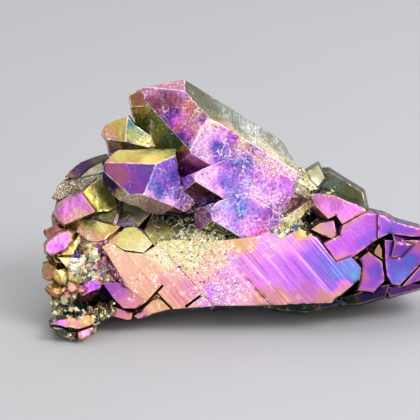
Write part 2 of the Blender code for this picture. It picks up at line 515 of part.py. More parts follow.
def grow() -> bpy.types.Object:
    """Everything grown together in one solid, in millimetres as it faces the viewer."""
    small = [crystal for swarm in SWARMS for crystal in swarm.crystals()]
    pieces = [*LUMPS, *CRYSTALS, *BLOCKS, *REAR, *small]
    base = as_object("quartz_cluster", pieces[0].shape())
    for piece in pieces[1:]:
        combine(base, as_object(piece.name, piece.shape()), "UNION")
    for hollow in [*PITS, *CRACKS]:
        combine(base, as_object(hollow.name, hollow.shape()), "DIFFERENCE")
    return base


def rest(base: bpy.types.Object) -> None:
    """Lean the piece back, break its base flat and stand it on the ground in metres."""
    cos, sin = math.cos(LEAN), math.sin(LEAN)
    lean = Matrix(((1, 0, 0, 0), (0, sin, cos, 0), (0, cos, -sin, 0), (0, 0, 0, 1)))
    base.data.transform(lean)
    base.data.flip_normals()  # the lean swaps left- and right-handed axes
    slab = bmesh.new()
    bmesh.ops.create_cube(slab, size=2 * STOCK)
    bmesh.ops.translate(slab, verts=slab.verts, vec=(0, 0, GROUND - STOCK))
    combine(base, as_object("ground", slab), "DIFFERENCE")
    spots = [v.co for v in base.data.vertices]
    low = [min(p[i] for p in spots) for i in range(3)]
    high = [max(p[i] for p in spots) for i in range(3)]
    middle = Vector(((low[0] + high[0]) / 2, (low[1] + high[1]) / 2, low[2]))
    base.data.transform(Matrix.Scale(MM, 4) @ Matrix.Translation(-middle))


def loose_bits(mesh: bmesh.types.BMesh) -> list[bmesh.types.BMVert]:
    """Every point that isn't connected to the largest shell: specks and the walls of closed voids."""
    unseen = set(mesh.verts)
    shells = []
    while unseen:
        todo = [next(iter(unseen))]
        shell = set(todo)
        while todo:
            here = todo.pop()
            for edge in here.link_edges:
                there = edge.other_vert(here)
                if there not in shell:
                    shell.add(there)
                    todo.append(there)
        unseen -= shell
        shells.append(shell)
    main_shell = max(shells, key=len)
    return [v for v in mesh.verts if v not in main_shell]


def tidy(base: bpy.types.Object) -> None:
    """Drop the slivers the joins leave and triangulate what remains."""
    mesh = bmesh.new()
    mesh.from_mesh(base.data)
    bmesh.ops.remove_doubles(mesh, verts=mesh.verts, dist=MM * SLIVER)
    bmesh.ops.dissolve_degenerate(mesh, dist=MM * SLIVER, edges=mesh.edges)
    bmesh.ops.delete(mesh, geom=loose_bits(mesh), context="VERTS")
    bmesh.ops.triangulate(mesh, faces=mesh.faces)
    bmesh.ops.recalc_face_normals(mesh, faces=mesh.faces)
    mesh.to_mesh(base.data)
    mesh.free()


def coat(base: bpy.types.Object) -> None:
    """The violet metal film."""
    film = bpy.data.materials.new("titanium_film")
    film.use_nodes = True
    shader = film.node_tree.nodes["Principled BSDF"]
    shader.inputs["Base Color"].default_value = (0.42, 0.12, 0.55, 1.0)
    shader.inputs["Metallic"].default_value = 0.7
    shader.inputs["Roughness"].default_value = 0.35
    base.data.materials.clear()
    base.data.materials.append(film)


for old in list(bpy.data.objects):
    bpy.data.objects.remove(old)
cluster = grow()
rest(cluster)
tidy(cluster)
coat(cluster)
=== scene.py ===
"""Dresses a titanium-coated quartz cluster: its coated skin, its sugary druse and a plain studio."""

import enum
import itertools
import logging
import math
from dataclasses import dataclass, field, fields

import bpy
import numpy as np
from mathutils import Matrix, Vector
from mathutils.bvhtree import BVHTree
from mathutils.kdtree import KDTree

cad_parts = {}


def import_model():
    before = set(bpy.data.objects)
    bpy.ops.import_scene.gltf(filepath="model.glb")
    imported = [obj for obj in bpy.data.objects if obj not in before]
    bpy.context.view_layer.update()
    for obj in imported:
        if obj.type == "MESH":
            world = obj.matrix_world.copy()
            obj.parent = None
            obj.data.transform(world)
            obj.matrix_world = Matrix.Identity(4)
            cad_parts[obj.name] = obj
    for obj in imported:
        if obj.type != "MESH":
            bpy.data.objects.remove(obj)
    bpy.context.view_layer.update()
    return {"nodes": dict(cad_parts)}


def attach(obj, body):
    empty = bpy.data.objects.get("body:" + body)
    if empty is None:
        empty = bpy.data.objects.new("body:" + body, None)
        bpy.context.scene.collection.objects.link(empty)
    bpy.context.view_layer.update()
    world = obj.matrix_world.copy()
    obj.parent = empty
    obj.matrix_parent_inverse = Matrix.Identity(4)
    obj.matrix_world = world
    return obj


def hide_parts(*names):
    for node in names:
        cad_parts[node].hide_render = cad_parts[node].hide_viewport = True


log = logging.getLogger("quartz")
MM = 0.001
NODE = "quartz_cluster"
Tree = bpy.types.NodeTree
Socket = bpy.types.NodeSocket
Value = Socket | float | tuple[float, ...]  # what feeds a node: a socket, a number or a colour
Screen = tuple[int, int, int]  # a colour as a screen shows it, 0 to 255
Span = tuple[float, float]
Built = tuple[np.ndarray, np.ndarray, dict[str, np.ndarray]]  # points, corners, the material's values


class Hue(enum.Enum):
    """Named thicknesses of the metal film, as a place on the colour ramp and its colour in light."""

    # NIGHT is near-black; the spots use it for painted shade in crevices and undersides
    NIGHT = (0.00, (34, 46, 74))
    TEAL = (0.06, (58, 122, 132))
    FERN = (0.12, (104, 140, 82))
    OLIVE = (0.18, (170, 164, 72))
    STRAW = (0.25, (238, 226, 128))
    GOLD = (0.31, (232, 190, 76))
    AMBER = (0.37, (236, 164, 82))
    PEACH = (0.43, (240, 158, 116))
    SALMON = (0.49, (238, 136, 140))
    ROSE = (0.55, (236, 122, 178))
    ORCHID = (0.62, (228, 112, 226))
    MAGENTA = (0.69, (206, 88, 240))
    VIOLET = (0.76, (158, 80, 234))
    INDIGO = (0.83, (110, 82, 222))
    BLUE = (0.91, (80, 102, 226))
    AZURE = (1.00, (84, 160, 222))

    @property
    def stage(self) -> float:
        """Where the hue lies along the ramp."""
        return self.value[0]

    @property
    def colour(self) -> Screen:
        """Its colour in light."""
        return self.value[1]


class Zone(enum.Enum):
    """The part of the cluster that a face belongs to."""

    CROWN = 0
    HAZE = 1
    PLATE = 2
    EAST = 3
    LOBE = 4
    REAR = 5


class Part(enum.IntEnum):
    """The columns of a finish; all but the lines go to the material as one colour with alpha."""

    STAGE = 0
    # how light the film is: painted light and shade near the spots, random tone far from them
    LIGHT = 1
    PALE = 2
    FROST = 3
    LINES = 4


class Pattern(enum.IntEnum):
    """The seed of each fixed random pattern; one with several parts also uses the numbers after it."""

    FACE = 0
    STAGE = 11
    SHADE = 12
    WOBBLE = 21
    TERRACE = 31
    STRIPE = 41
    BLOCK = 51
    TILT = 52
    GRAIN = 61
    PIT = 71
    CHIP = 81


@dataclass(frozen=True)
class Showing:
    """The side that faces the viewer: millimetres right, up and away, leaned back onto the base."""

    lean: float = math.radians(20.0)
    middle: tuple[float, float, float] = (-0.36, 12.27, 0.60)
    eye: tuple[float, float, float] = (-4.44, 15.84, -350.0)

    def axes(self) -> np.ndarray:
        """The directions right, up and away, one to a row."""
        cos, sin = math.cos(self.lean), math.sin(self.lean)
        return np.array(((1, 0, 0), (0, sin, cos), (0, cos, -sin)))

    def place(self, spot: tuple[float, float, float]) -> np.ndarray:
        """Where a spot of the showing side lies, in the frame's own millimetres.

        Args:
            spot: Millimetres right, up and away.

        Returns:
            The same spot in the frame.
        """
        return np.array(spot) @ self.axes() - np.array(self.middle)

    def seen(self, points: np.ndarray) -> np.ndarray:
        """The reverse of `place`, for many points.

        Args:
            points: Points in the frame, one to a row.

        Returns:
            Millimetres right, up and away.
        """
        return (points + np.array(self.middle)) @ self.axes().T


@dataclass(frozen=True)
class Spot:
    """The finish at one spot of the showing side, with the light and shade painted there."""

    right: float  # millimetres
    up: float
    hue: Hue
    # painted light and shade: below 1 painted shade, above 1 a painted highlight
    light: float = 1.0
    pale: float = 0.0
    frost: float = 0.0
    lines: float = 0.0

    def finish(self) -> tuple[float, ...]:
        """The value of each `Part`."""
        return self.hue.stage, self.light, self.pale, self.frost, self.lines


# Short names of the hues, for the lists of spots.
(
    NIGHT, TEAL, FERN, OLIVE, STRAW, GOLD, AMBER, PEACH,
    SALMON, ROSE, ORCHID, MAGENTA, VIOLET, INDIGO, BLUE, AZURE,
) = Hue
CROWN_SPOTS = (
    Spot(-9.1, 30.8, ROSE, 0.9, 0.25, 0.1), Spot(-11.4, 30.1, ROSE, 0.8, 0.2, 0.2),
    Spot(-7.6, 30.1, ORCHID, 0.9, 0.3, 0.1), Spot(-11.6, 29.2, ROSE, 0.48, 0.05, 0.05),
    Spot(-8.5, 29.0, ROSE, 0.5, 0.05, 0.05), Spot(-10.7, 28.3, ROSE, 0.36, 0, 0.05),
    Spot(-9.5, 28.6, ROSE, 0.38, 0.05, 0.05), Spot(-7.3, 28.1, SALMON, 0.9, 0.05, 0.1, 0.2),
    Spot(-5.8, 27.5, SALMON, 0.74, 0.25, 0.15, 0.8), Spot(-6.1, 25.8, SALMON, 0.98, 0.25, 0.15, 1),
    Spot(-10.4, 27.7, ROSE, 0.6, 0, 0.1), Spot(-9.8, 27.0, VIOLET, 0.38, 0, 0.2),
    Spot(-8.9, 27.5, MAGENTA, 0.38, 0, 0.2), Spot(-8.4, 26.6, ROSE, 1.03, 0, 0.1),
    Spot(-8.0, 24.8, VIOLET, 0.33, 0, 0.2), Spot(-7.2, 25.3, ROSE, 0.78, 0, 0.1, 0.3),
    Spot(-9.2, 25.9, MAGENTA, 0.56, 0, 0.15), Spot(-8.5, 25.4, ROSE, 0.79, 0, 0.1),
    Spot(-7.2, 23.9, VIOLET, 0.38, 0, 0.15, 0.2), Spot(-7.7, 24.1, MAGENTA, 0.43, 0, 0.15),
    Spot(-6.6, 24.6, ROSE, 0.88, 0, 0.1, 0.7), Spot(-5.0, 26.8, ORCHID, 0.58, 0.1, 0.1, 0.5),
    Spot(-13.2, 28.9, SALMON, 0.34, 0, -0.3), Spot(-13.7, 28.6, AMBER, 0.42, 0, -0.3),
    Spot(-12.2, 28.6, AMBER, 0.4, 0, -0.3), Spot(-12.8, 27.8, GOLD, 0.83, 0, 0.1),
    Spot(-13.6, 27.5, GOLD, 0.6, 0, 0.1, 0.2), Spot(-13.2, 26.9, OLIVE, 0.75, 0, 0.05, 0.3),
    Spot(-11.6, 26.6, OLIVE, 0.75, 0, 0.1, 0.3), Spot(-10.6, 25.4, OLIVE, 0.63, 0, 0.1, 0.3),
    Spot(-9.5, 24.5, FERN, 0.66, 0, 0.05, 0.3), Spot(-8.5, 23.8, FERN, 0.41),
    Spot(-4.2, 26.5, ORCHID, 1.11, 0.45, 0.15), Spot(-5.3, 24.1, ORCHID, 1.03, 0.4, 0.3),
    Spot(-6.1, 22.8, ORCHID, 0.88, 0.45, 0.3), Spot(-4.7, 25.2, ORCHID, 1.08, 0.4, 0.3),
    Spot(-3.1, 25.0, ORCHID, 1.05, 0.25, 0.25), Spot(-1.7, 24.5, MAGENTA, 0.68, 0.05, 0.2),
    Spot(-3.6, 23.4, INDIGO, 0.75, 0.05, 0.25), Spot(-3.5, 22.2, VIOLET, 0.71, 0.05, 0.25),
    Spot(-4.8, 22.2, ORCHID, 1.03, 0.4, 0.2), Spot(-2.5, 25.8, ORCHID, 0.84, 0.4, 0.2),
    Spot(-0.7, 23.6, SALMON, 0.78, 0.35, 0.4), Spot(-1.1, 22.7, ORCHID, 0.78, 0.35, 0.5),
    Spot(0.6, 23.0, ROSE, 0.73, 0.2, 0.4), Spot(1.9, 21.8, ROSE, 0.97, 0.4, 0.7),
    Spot(3.5, 21.1, ROSE, 1.07, 0.4, 0.56), Spot(5.2, 20.4, SALMON, 1.13, 0.4, 0.4),
    Spot(1.0, 23.5, VIOLET, 0.55, 0.1, 0.3), Spot(-5.3, 19.4, ORCHID, 1.19, 0.4, 0.12),
    Spot(-4.1, 20.4, ORCHID, 1.19, 0.35, 0.16), Spot(-3.0, 19.6, VIOLET, 1.0, 0.1, 0.08),
    Spot(-2.5, 18.7, INDIGO, 0.93, 0.1, 0.28), Spot(-1.3, 21.5, INDIGO, 0.75, 0.1, 0.45),
    Spot(0.1, 21.7, INDIGO, 0.75, 0.1, 0.45), Spot(-1.2, 20.3, VIOLET, 0.9, 0.1, 0.36),
    Spot(-1.8, 17.9, INDIGO, 0.94, 0.15, 0.24), Spot(-3.4, 18.1, ORCHID, 1.15, 0.3, 0.08),
    Spot(-0.1, 19.0, VIOLET, 1.07, 0.25, 0.48), Spot(1.2, 19.9, MAGENTA, 0.94, 0.1, 0.32),
    Spot(2.3, 20.5, ORCHID, 1.07, 0.3, 0.56), Spot(1.0, 17.9, ORCHID, 1.13, 0.35, 0.48),
    Spot(2.8, 18.7, MAGENTA, 1.03, 0.1, 0.32), Spot(4.7, 19.3, MAGENTA, 1.03, 0.05, 0.08),
    Spot(5.2, 18.2, MAGENTA, 1.07, 0.1, 0.16), Spot(1.8, 16.7, ORCHID, 1.07, 0.4, 0.45),
    Spot(3.4, 17.3, ORCHID, 1.13, 0.3, 0.4), Spot(-2.8, 16.3, VIOLET, 1.1, 0.35, 0.08),
    Spot(-1.1, 16.9, INDIGO, 0.93, 0.1, 0.28), Spot(-0.8, 15.6, BLUE, 0.88, 0.15, 0.28),
    Spot(-2.0, 15.4, VIOLET, 1.07, 0.25, 0.08), Spot(0.1, 14.4, ORCHID, 1.1, 0.2, 0.32),
    Spot(1.4, 13.4, ORCHID, 1.03, 0.1, 0.28), Spot(1.2, 15.8, VIOLET, 0.98, 0.1, 0.16),
    Spot(2.5, 15.4, MAGENTA, 0.65, 0.05, 0.32), Spot(-3.4, 14.8, ORCHID, 1.07, 0.4, 0.48),
    Spot(-4.2, 15.6, VIOLET, 0.88, 0.2, 0.24), Spot(4.1, 16.1, ROSE, 0.65, 0.1, 0.48),
    Spot(4.9, 16.6, ROSE, 0.6, 0.1, 0.48), Spot(-6.1, 29.9, OLIVE, 0.31, 0.1, -0.1, 0.3),
    Spot(-4.7, 28.6, OLIVE, 0.33, 0.15, -0.1, 0.5), Spot(-3.0, 28.3, FERN, 0.6, 0.3, 0.1, 0.7),
    Spot(-3.7, 27.1, OLIVE, 0.36, 0.1, 0, 0.5), Spot(-2.0, 27.1, FERN, 0.56, 0.45, 0.25, 0.8),
    Spot(-1.1, 25.9, FERN, 0.6, 0.4, 0.2, 0.9), Spot(0.5, 25.6, FERN, 0.82, 0.7, 0.3, 0.8),
    Spot(-0.5, 27.1, FERN, 0.6, 0.6, 0.2, 0.7), Spot(1.8, 23.9, STRAW, 0.8, 0.5, 0.3, 0.8),
    Spot(3.0, 24.0, OLIVE, 0.55, 0.35, 0.2, 0.8), Spot(4.4, 22.8, FERN, 0.69, 0.45, 0.25, 0.8),
    Spot(5.2, 21.4, OLIVE, 0.78, 0.3, 0.2, 0.6), Spot(-4.1, 26.5, GOLD, 1.14, 0.25, 0.1),
    Spot(-2.3, 25.7, GOLD, 0.87, 0.2, 0.1, 0.3), Spot(-0.1, 24.2, STRAW, 0.87, 0.4, 0.3, 0.3),
    Spot(3.5, 22.1, PEACH, 1.03, 0.4, 0.5), Spot(1.1, 22.3, ROSE, 0.97, 0.35, 0.5),
    Spot(6.6, 18.2, OLIVE, 0.8, 0.15, 0.45), Spot(6.0, 17.8, GOLD, 1.0, 0.15, 0.32),
    Spot(6.6, 16.8, ROSE, 0.95, 0.2, 0.4), Spot(5.3, 14.9, STRAW, 1.03, 0.1, 0.44),
    Spot(3.4, 13.2, OLIVE, 0.92, 0.1, 0.44), Spot(7.2, 16.4, GOLD, 0.85, 0.15, 0.5),
    Spot(4.0, 15.1, MAGENTA, 0.6, 0.1, 0.48), Spot(4.8, 16.4, MAGENTA, 0.65, 0.1, 0.4),
    Spot(6.1, 15.6, STRAW, 1.03, 0.2, 0.44), Spot(4.4, 13.9, STRAW, 0.92, 0.1, 0.48),
    Spot(6.8, 19.9, OLIVE, 0.75, 0.15, 0.3), Spot(7.3, 19.0, GOLD, 0.8, 0.2, 0.3),
    Spot(7.9, 18.5, STRAW, 1, 0.4, 0.2), Spot(-6.2, 21.6, ROSE, 1.16, 0.1, 0.08),
    Spot(-7.6, 22.1, ROSE, 0.5, 0, 0.05), Spot(-6.8, 20.8, MAGENTA, 0.36),
    Spot(-7.7, 20.6, MAGENTA, 0.51, 0, 0.08), Spot(-7.2, 21.1, ROSE, 0.43),
    Spot(-6.0, 22.8, ORCHID, 0.8, 0.3, 0.2), Spot(-7.4, 19.8, MAGENTA, 0.8, 0.05, 0.16),
    Spot(-6.6, 20.4, ROSE, 0.87, 0.05, 0.08), Spot(-4.3, 17.5, SALMON, 0.15, 0, 0.08),
    Spot(-5.0, 18.0, SALMON, 0.13, 0, 0.08), Spot(-4.7, 16.8, VIOLET, 0.63, 0.1, 0.16),
    Spot(-5.5, 15.4, ORCHID, 0.63, 0.1, 0.4), Spot(-6.0, 16.2, AMBER, 0.25, 0, 0.1),
    Spot(-7.8, 15.7, MAGENTA, 0.29, 0, 0.32), Spot(-8.3, 15.5, MAGENTA, 0.15, 0, 0.3),
    Spot(-16.7, 21.6, PEACH, 0.75, 0.1, -0.3), Spot(-15.2, 22.2, STRAW, 0.72, 0, -0.3),
    Spot(-12.5, 22.8, STRAW, 0.78, 0, -0.3), Spot(-9.8, 22.7, STRAW, 0.85, 0.05, -0.1),
    Spot(-13.7, 22.1, GOLD, 0.72, 0.05, -0.3), Spot(-11.6, 21.7, GOLD, 1.15, 0.1, -0.24),
    Spot(-16.2, 20.4, ROSE, 0.44, 0.05, -0.2), Spot(-14.8, 19.9, ROSE, 0.44, 0.05, -0.2),
    Spot(-13.4, 19.2, MAGENTA, 0.44, 0.05, -0.15), Spot(-12.1, 19.7, VIOLET, 0.46, 0.05, -0.1),
    Spot(-11.9, 20.9, VIOLET, 0.48, 0.1), Spot(-13.7, 21.0, MAGENTA, 0.48, 0.05, -0.15),
    Spot(-14.3, 18.2, MAGENTA, 0.4, 0.05, -0.1), Spot(-10.6, 21.1, VIOLET, 1.01, 0.1, 0.16),
    Spot(-11.6, 18.7, INDIGO, 0.96, 0.2, 0.08), Spot(-10.6, 18.2, BLUE, 0.9, 0.05, 0.04),
    Spot(-9.1, 21.1, VIOLET, 0.87, 0.05, 0.16), Spot(-10.1, 19.8, VIOLET, 1.04, 0.1, 0.08),
    Spot(-8.8, 19.9, INDIGO, 0.72, 0.05, 0.16), Spot(-11.6, 17.8, ORCHID, 1.08, 0.35, 0.08),
    Spot(-9.7, 18.6, VIOLET, 0.87, 0.05, 0.24), Spot(-8.3, 17.4, VIOLET, 0.72, 0.1, 0.4),
    Spot(-9.1, 16.7, ORCHID, 1.68, 0.3, 0.24), Spot(-7.1, 17.5, VIOLET, 0.61, 0.1, 0.56),
    Spot(-8.3, 16.3, MAGENTA, 0.72, 0.1, 0.4), Spot(-6.8, 16.3, SALMON, 0.58, 0.1, 0.48),
    Spot(-16.2, 18.6, BLUE, 0.19, 0, 0.05), Spot(-17.0, 19.7, BLUE, 0.26),
    Spot(-15.2, 17.5, FERN, 0.72, 0.3, 0.2), Spot(-13.7, 16.9, STRAW, 0.8, 0.5, 0.3),
    Spot(-12.1, 16.6, PEACH, 0.61, 0.5, 0.2), Spot(-10.4, 16.1, SALMON, 0.84, 0.35, 0.16),
    Spot(-9.0, 15.7, SALMON, 0.59, 0.2, 0.24), Spot(-16.9, 25.7, AMBER, 0.98, 0.2, -0.2),
    Spot(-15.7, 26.0, GOLD, 0.98, 0.05, -0.3), Spot(-15.1, 26.6, STRAW, 0.95, 0.05, -0.3),
    Spot(-16.4, 24.7, PEACH, 0.95, 0.25, 0.05), Spot(-14.8, 25.4, STRAW, 0.8, 0.05, -0.2),
    Spot(-13.6, 25.0, OLIVE, 0.66, 0.1, -0.2, 0.3), Spot(-13.9, 26.6, TEAL, 0.55, 0.05, -0.2, 0.2),
    Spot(-11.9, 24.2, OLIVE, 1.05, 0.15, -0.1, 0.3), Spot(-12.8, 25.6, FERN, 0.83, 0.1, -0.2, 0.2),
    Spot(-15.8, 23.5, OLIVE, 0.6, 0.05, 0.2), Spot(-16.7, 23.4, GOLD, 0.75, 0.2, 0.2),
    Spot(-13.4, 23.6, GOLD, 0.7, 0.05, 0.4), Spot(-11.6, 23.5, GOLD, 0.75, 0, 0.3),
    Spot(-14.6, 23.4, OLIVE, 0.5, 0, 0.2), Spot(-16.0, 22.8, AZURE, 0.55, 0.3, 0.1),
)
HAZE_SPOTS = (
    Spot(-20.6, 21.0, MAGENTA, 0.17, 0.25, 0.08), Spot(-19.4, 21.5, MAGENTA, 0.18, 0.3, 0.08),
    Spot(-17.9, 22.1, OLIVE, 0.24, 0.35, 0.16), Spot(-18.5, 20.6, STRAW, 0.8, 0.6, 0.08),
    Spot(-19.6, 20.2, STRAW, 0.8, 0.3, 0.08), Spot(-17.9, 21.2, STRAW, 0.63, 0.6, 0.08),
    Spot(-20.9, 18.7, GOLD, 0.24, 0.45, 0.56), Spot(-18.8, 19.4, STRAW, 0.32, 0.5, 0.48),
    Spot(-22.2, 18.2, GOLD, 0.35, 0.5, 0.64), Spot(-21.7, 19.9, AMBER, 0.49, 0.1, 0.08),
    Spot(-22.8, 18.2, STRAW, 0.39, 0.5, 0.64), Spot(-17.6, 18.2, OLIVE, 0.68, 0.03, 0.08, 0.6),
    Spot(-18.6, 17.9, GOLD, 0.78, 0.03, 0.1, 0.5), Spot(-19.1, 16.9, AMBER, 0.79, 0.03, 0.1, 0.3),
    Spot(-16.4, 17.4, OLIVE, 0.9, 0.03, 0.1, 0.5), Spot(-17.0, 16.3, OLIVE, 0.76, 0, 0.1, 0.4),
    Spot(-16.2, 16.1, OLIVE, 0.69, 0, 0.1, 0.3), Spot(-13.7, 15.1, FERN, 0.6, 0.25, 0.1),
    Spot(-15.2, 16.4, FERN, 0.57, 0.05, 0.1, 0.2), Spot(-12.2, 14.6, FERN, 0.45, 0.25, 0.1),
    Spot(-21.7, 16.2, ORCHID, 1.1, 0.12, 0.1), Spot(-20.3, 17.2, ORCHID, 1.04, 0.1, 0.1),
    Spot(-19.2, 16.1, ORCHID, 1.04, 0.1, 0.1), Spot(-20.8, 14.8, SALMON, 1.04, 0.25, 0.2),
    Spot(-22.4, 16.0, ORCHID, 0.94, 0.05, 0.2), Spot(-19.8, 15.2, PEACH, 0.99, 0.3, 0.2),
    Spot(-22.0, 17.2, ORCHID, 1.04, 0.4, 0.2), Spot(-23.0, 16.3, SALMON, 0.5, 0, 0.2),
    Spot(-20.4, 18.0, ROSE, 0.54, 0.2, 0.16), Spot(-17.2, 15.0, OLIVE, 0.35, 0, 0.2),
    Spot(-15.5, 14.9, ORCHID, 0.62, 0.4, 0.1), Spot(-14.8, 15.1, OLIVE, 0.4, 0.1, 0.2),
    Spot(-13.9, 14.3, AZURE, 0.6, 0.5, 0.3), Spot(-13.3, 14.6, FERN, 0.55, 0.3, 0.1),
    Spot(-18.8, 15.2, SALMON, 0.35, 0, 0.2), Spot(-12.4, 14.3, BLUE, 0.3, 0.2, 0.2),
)
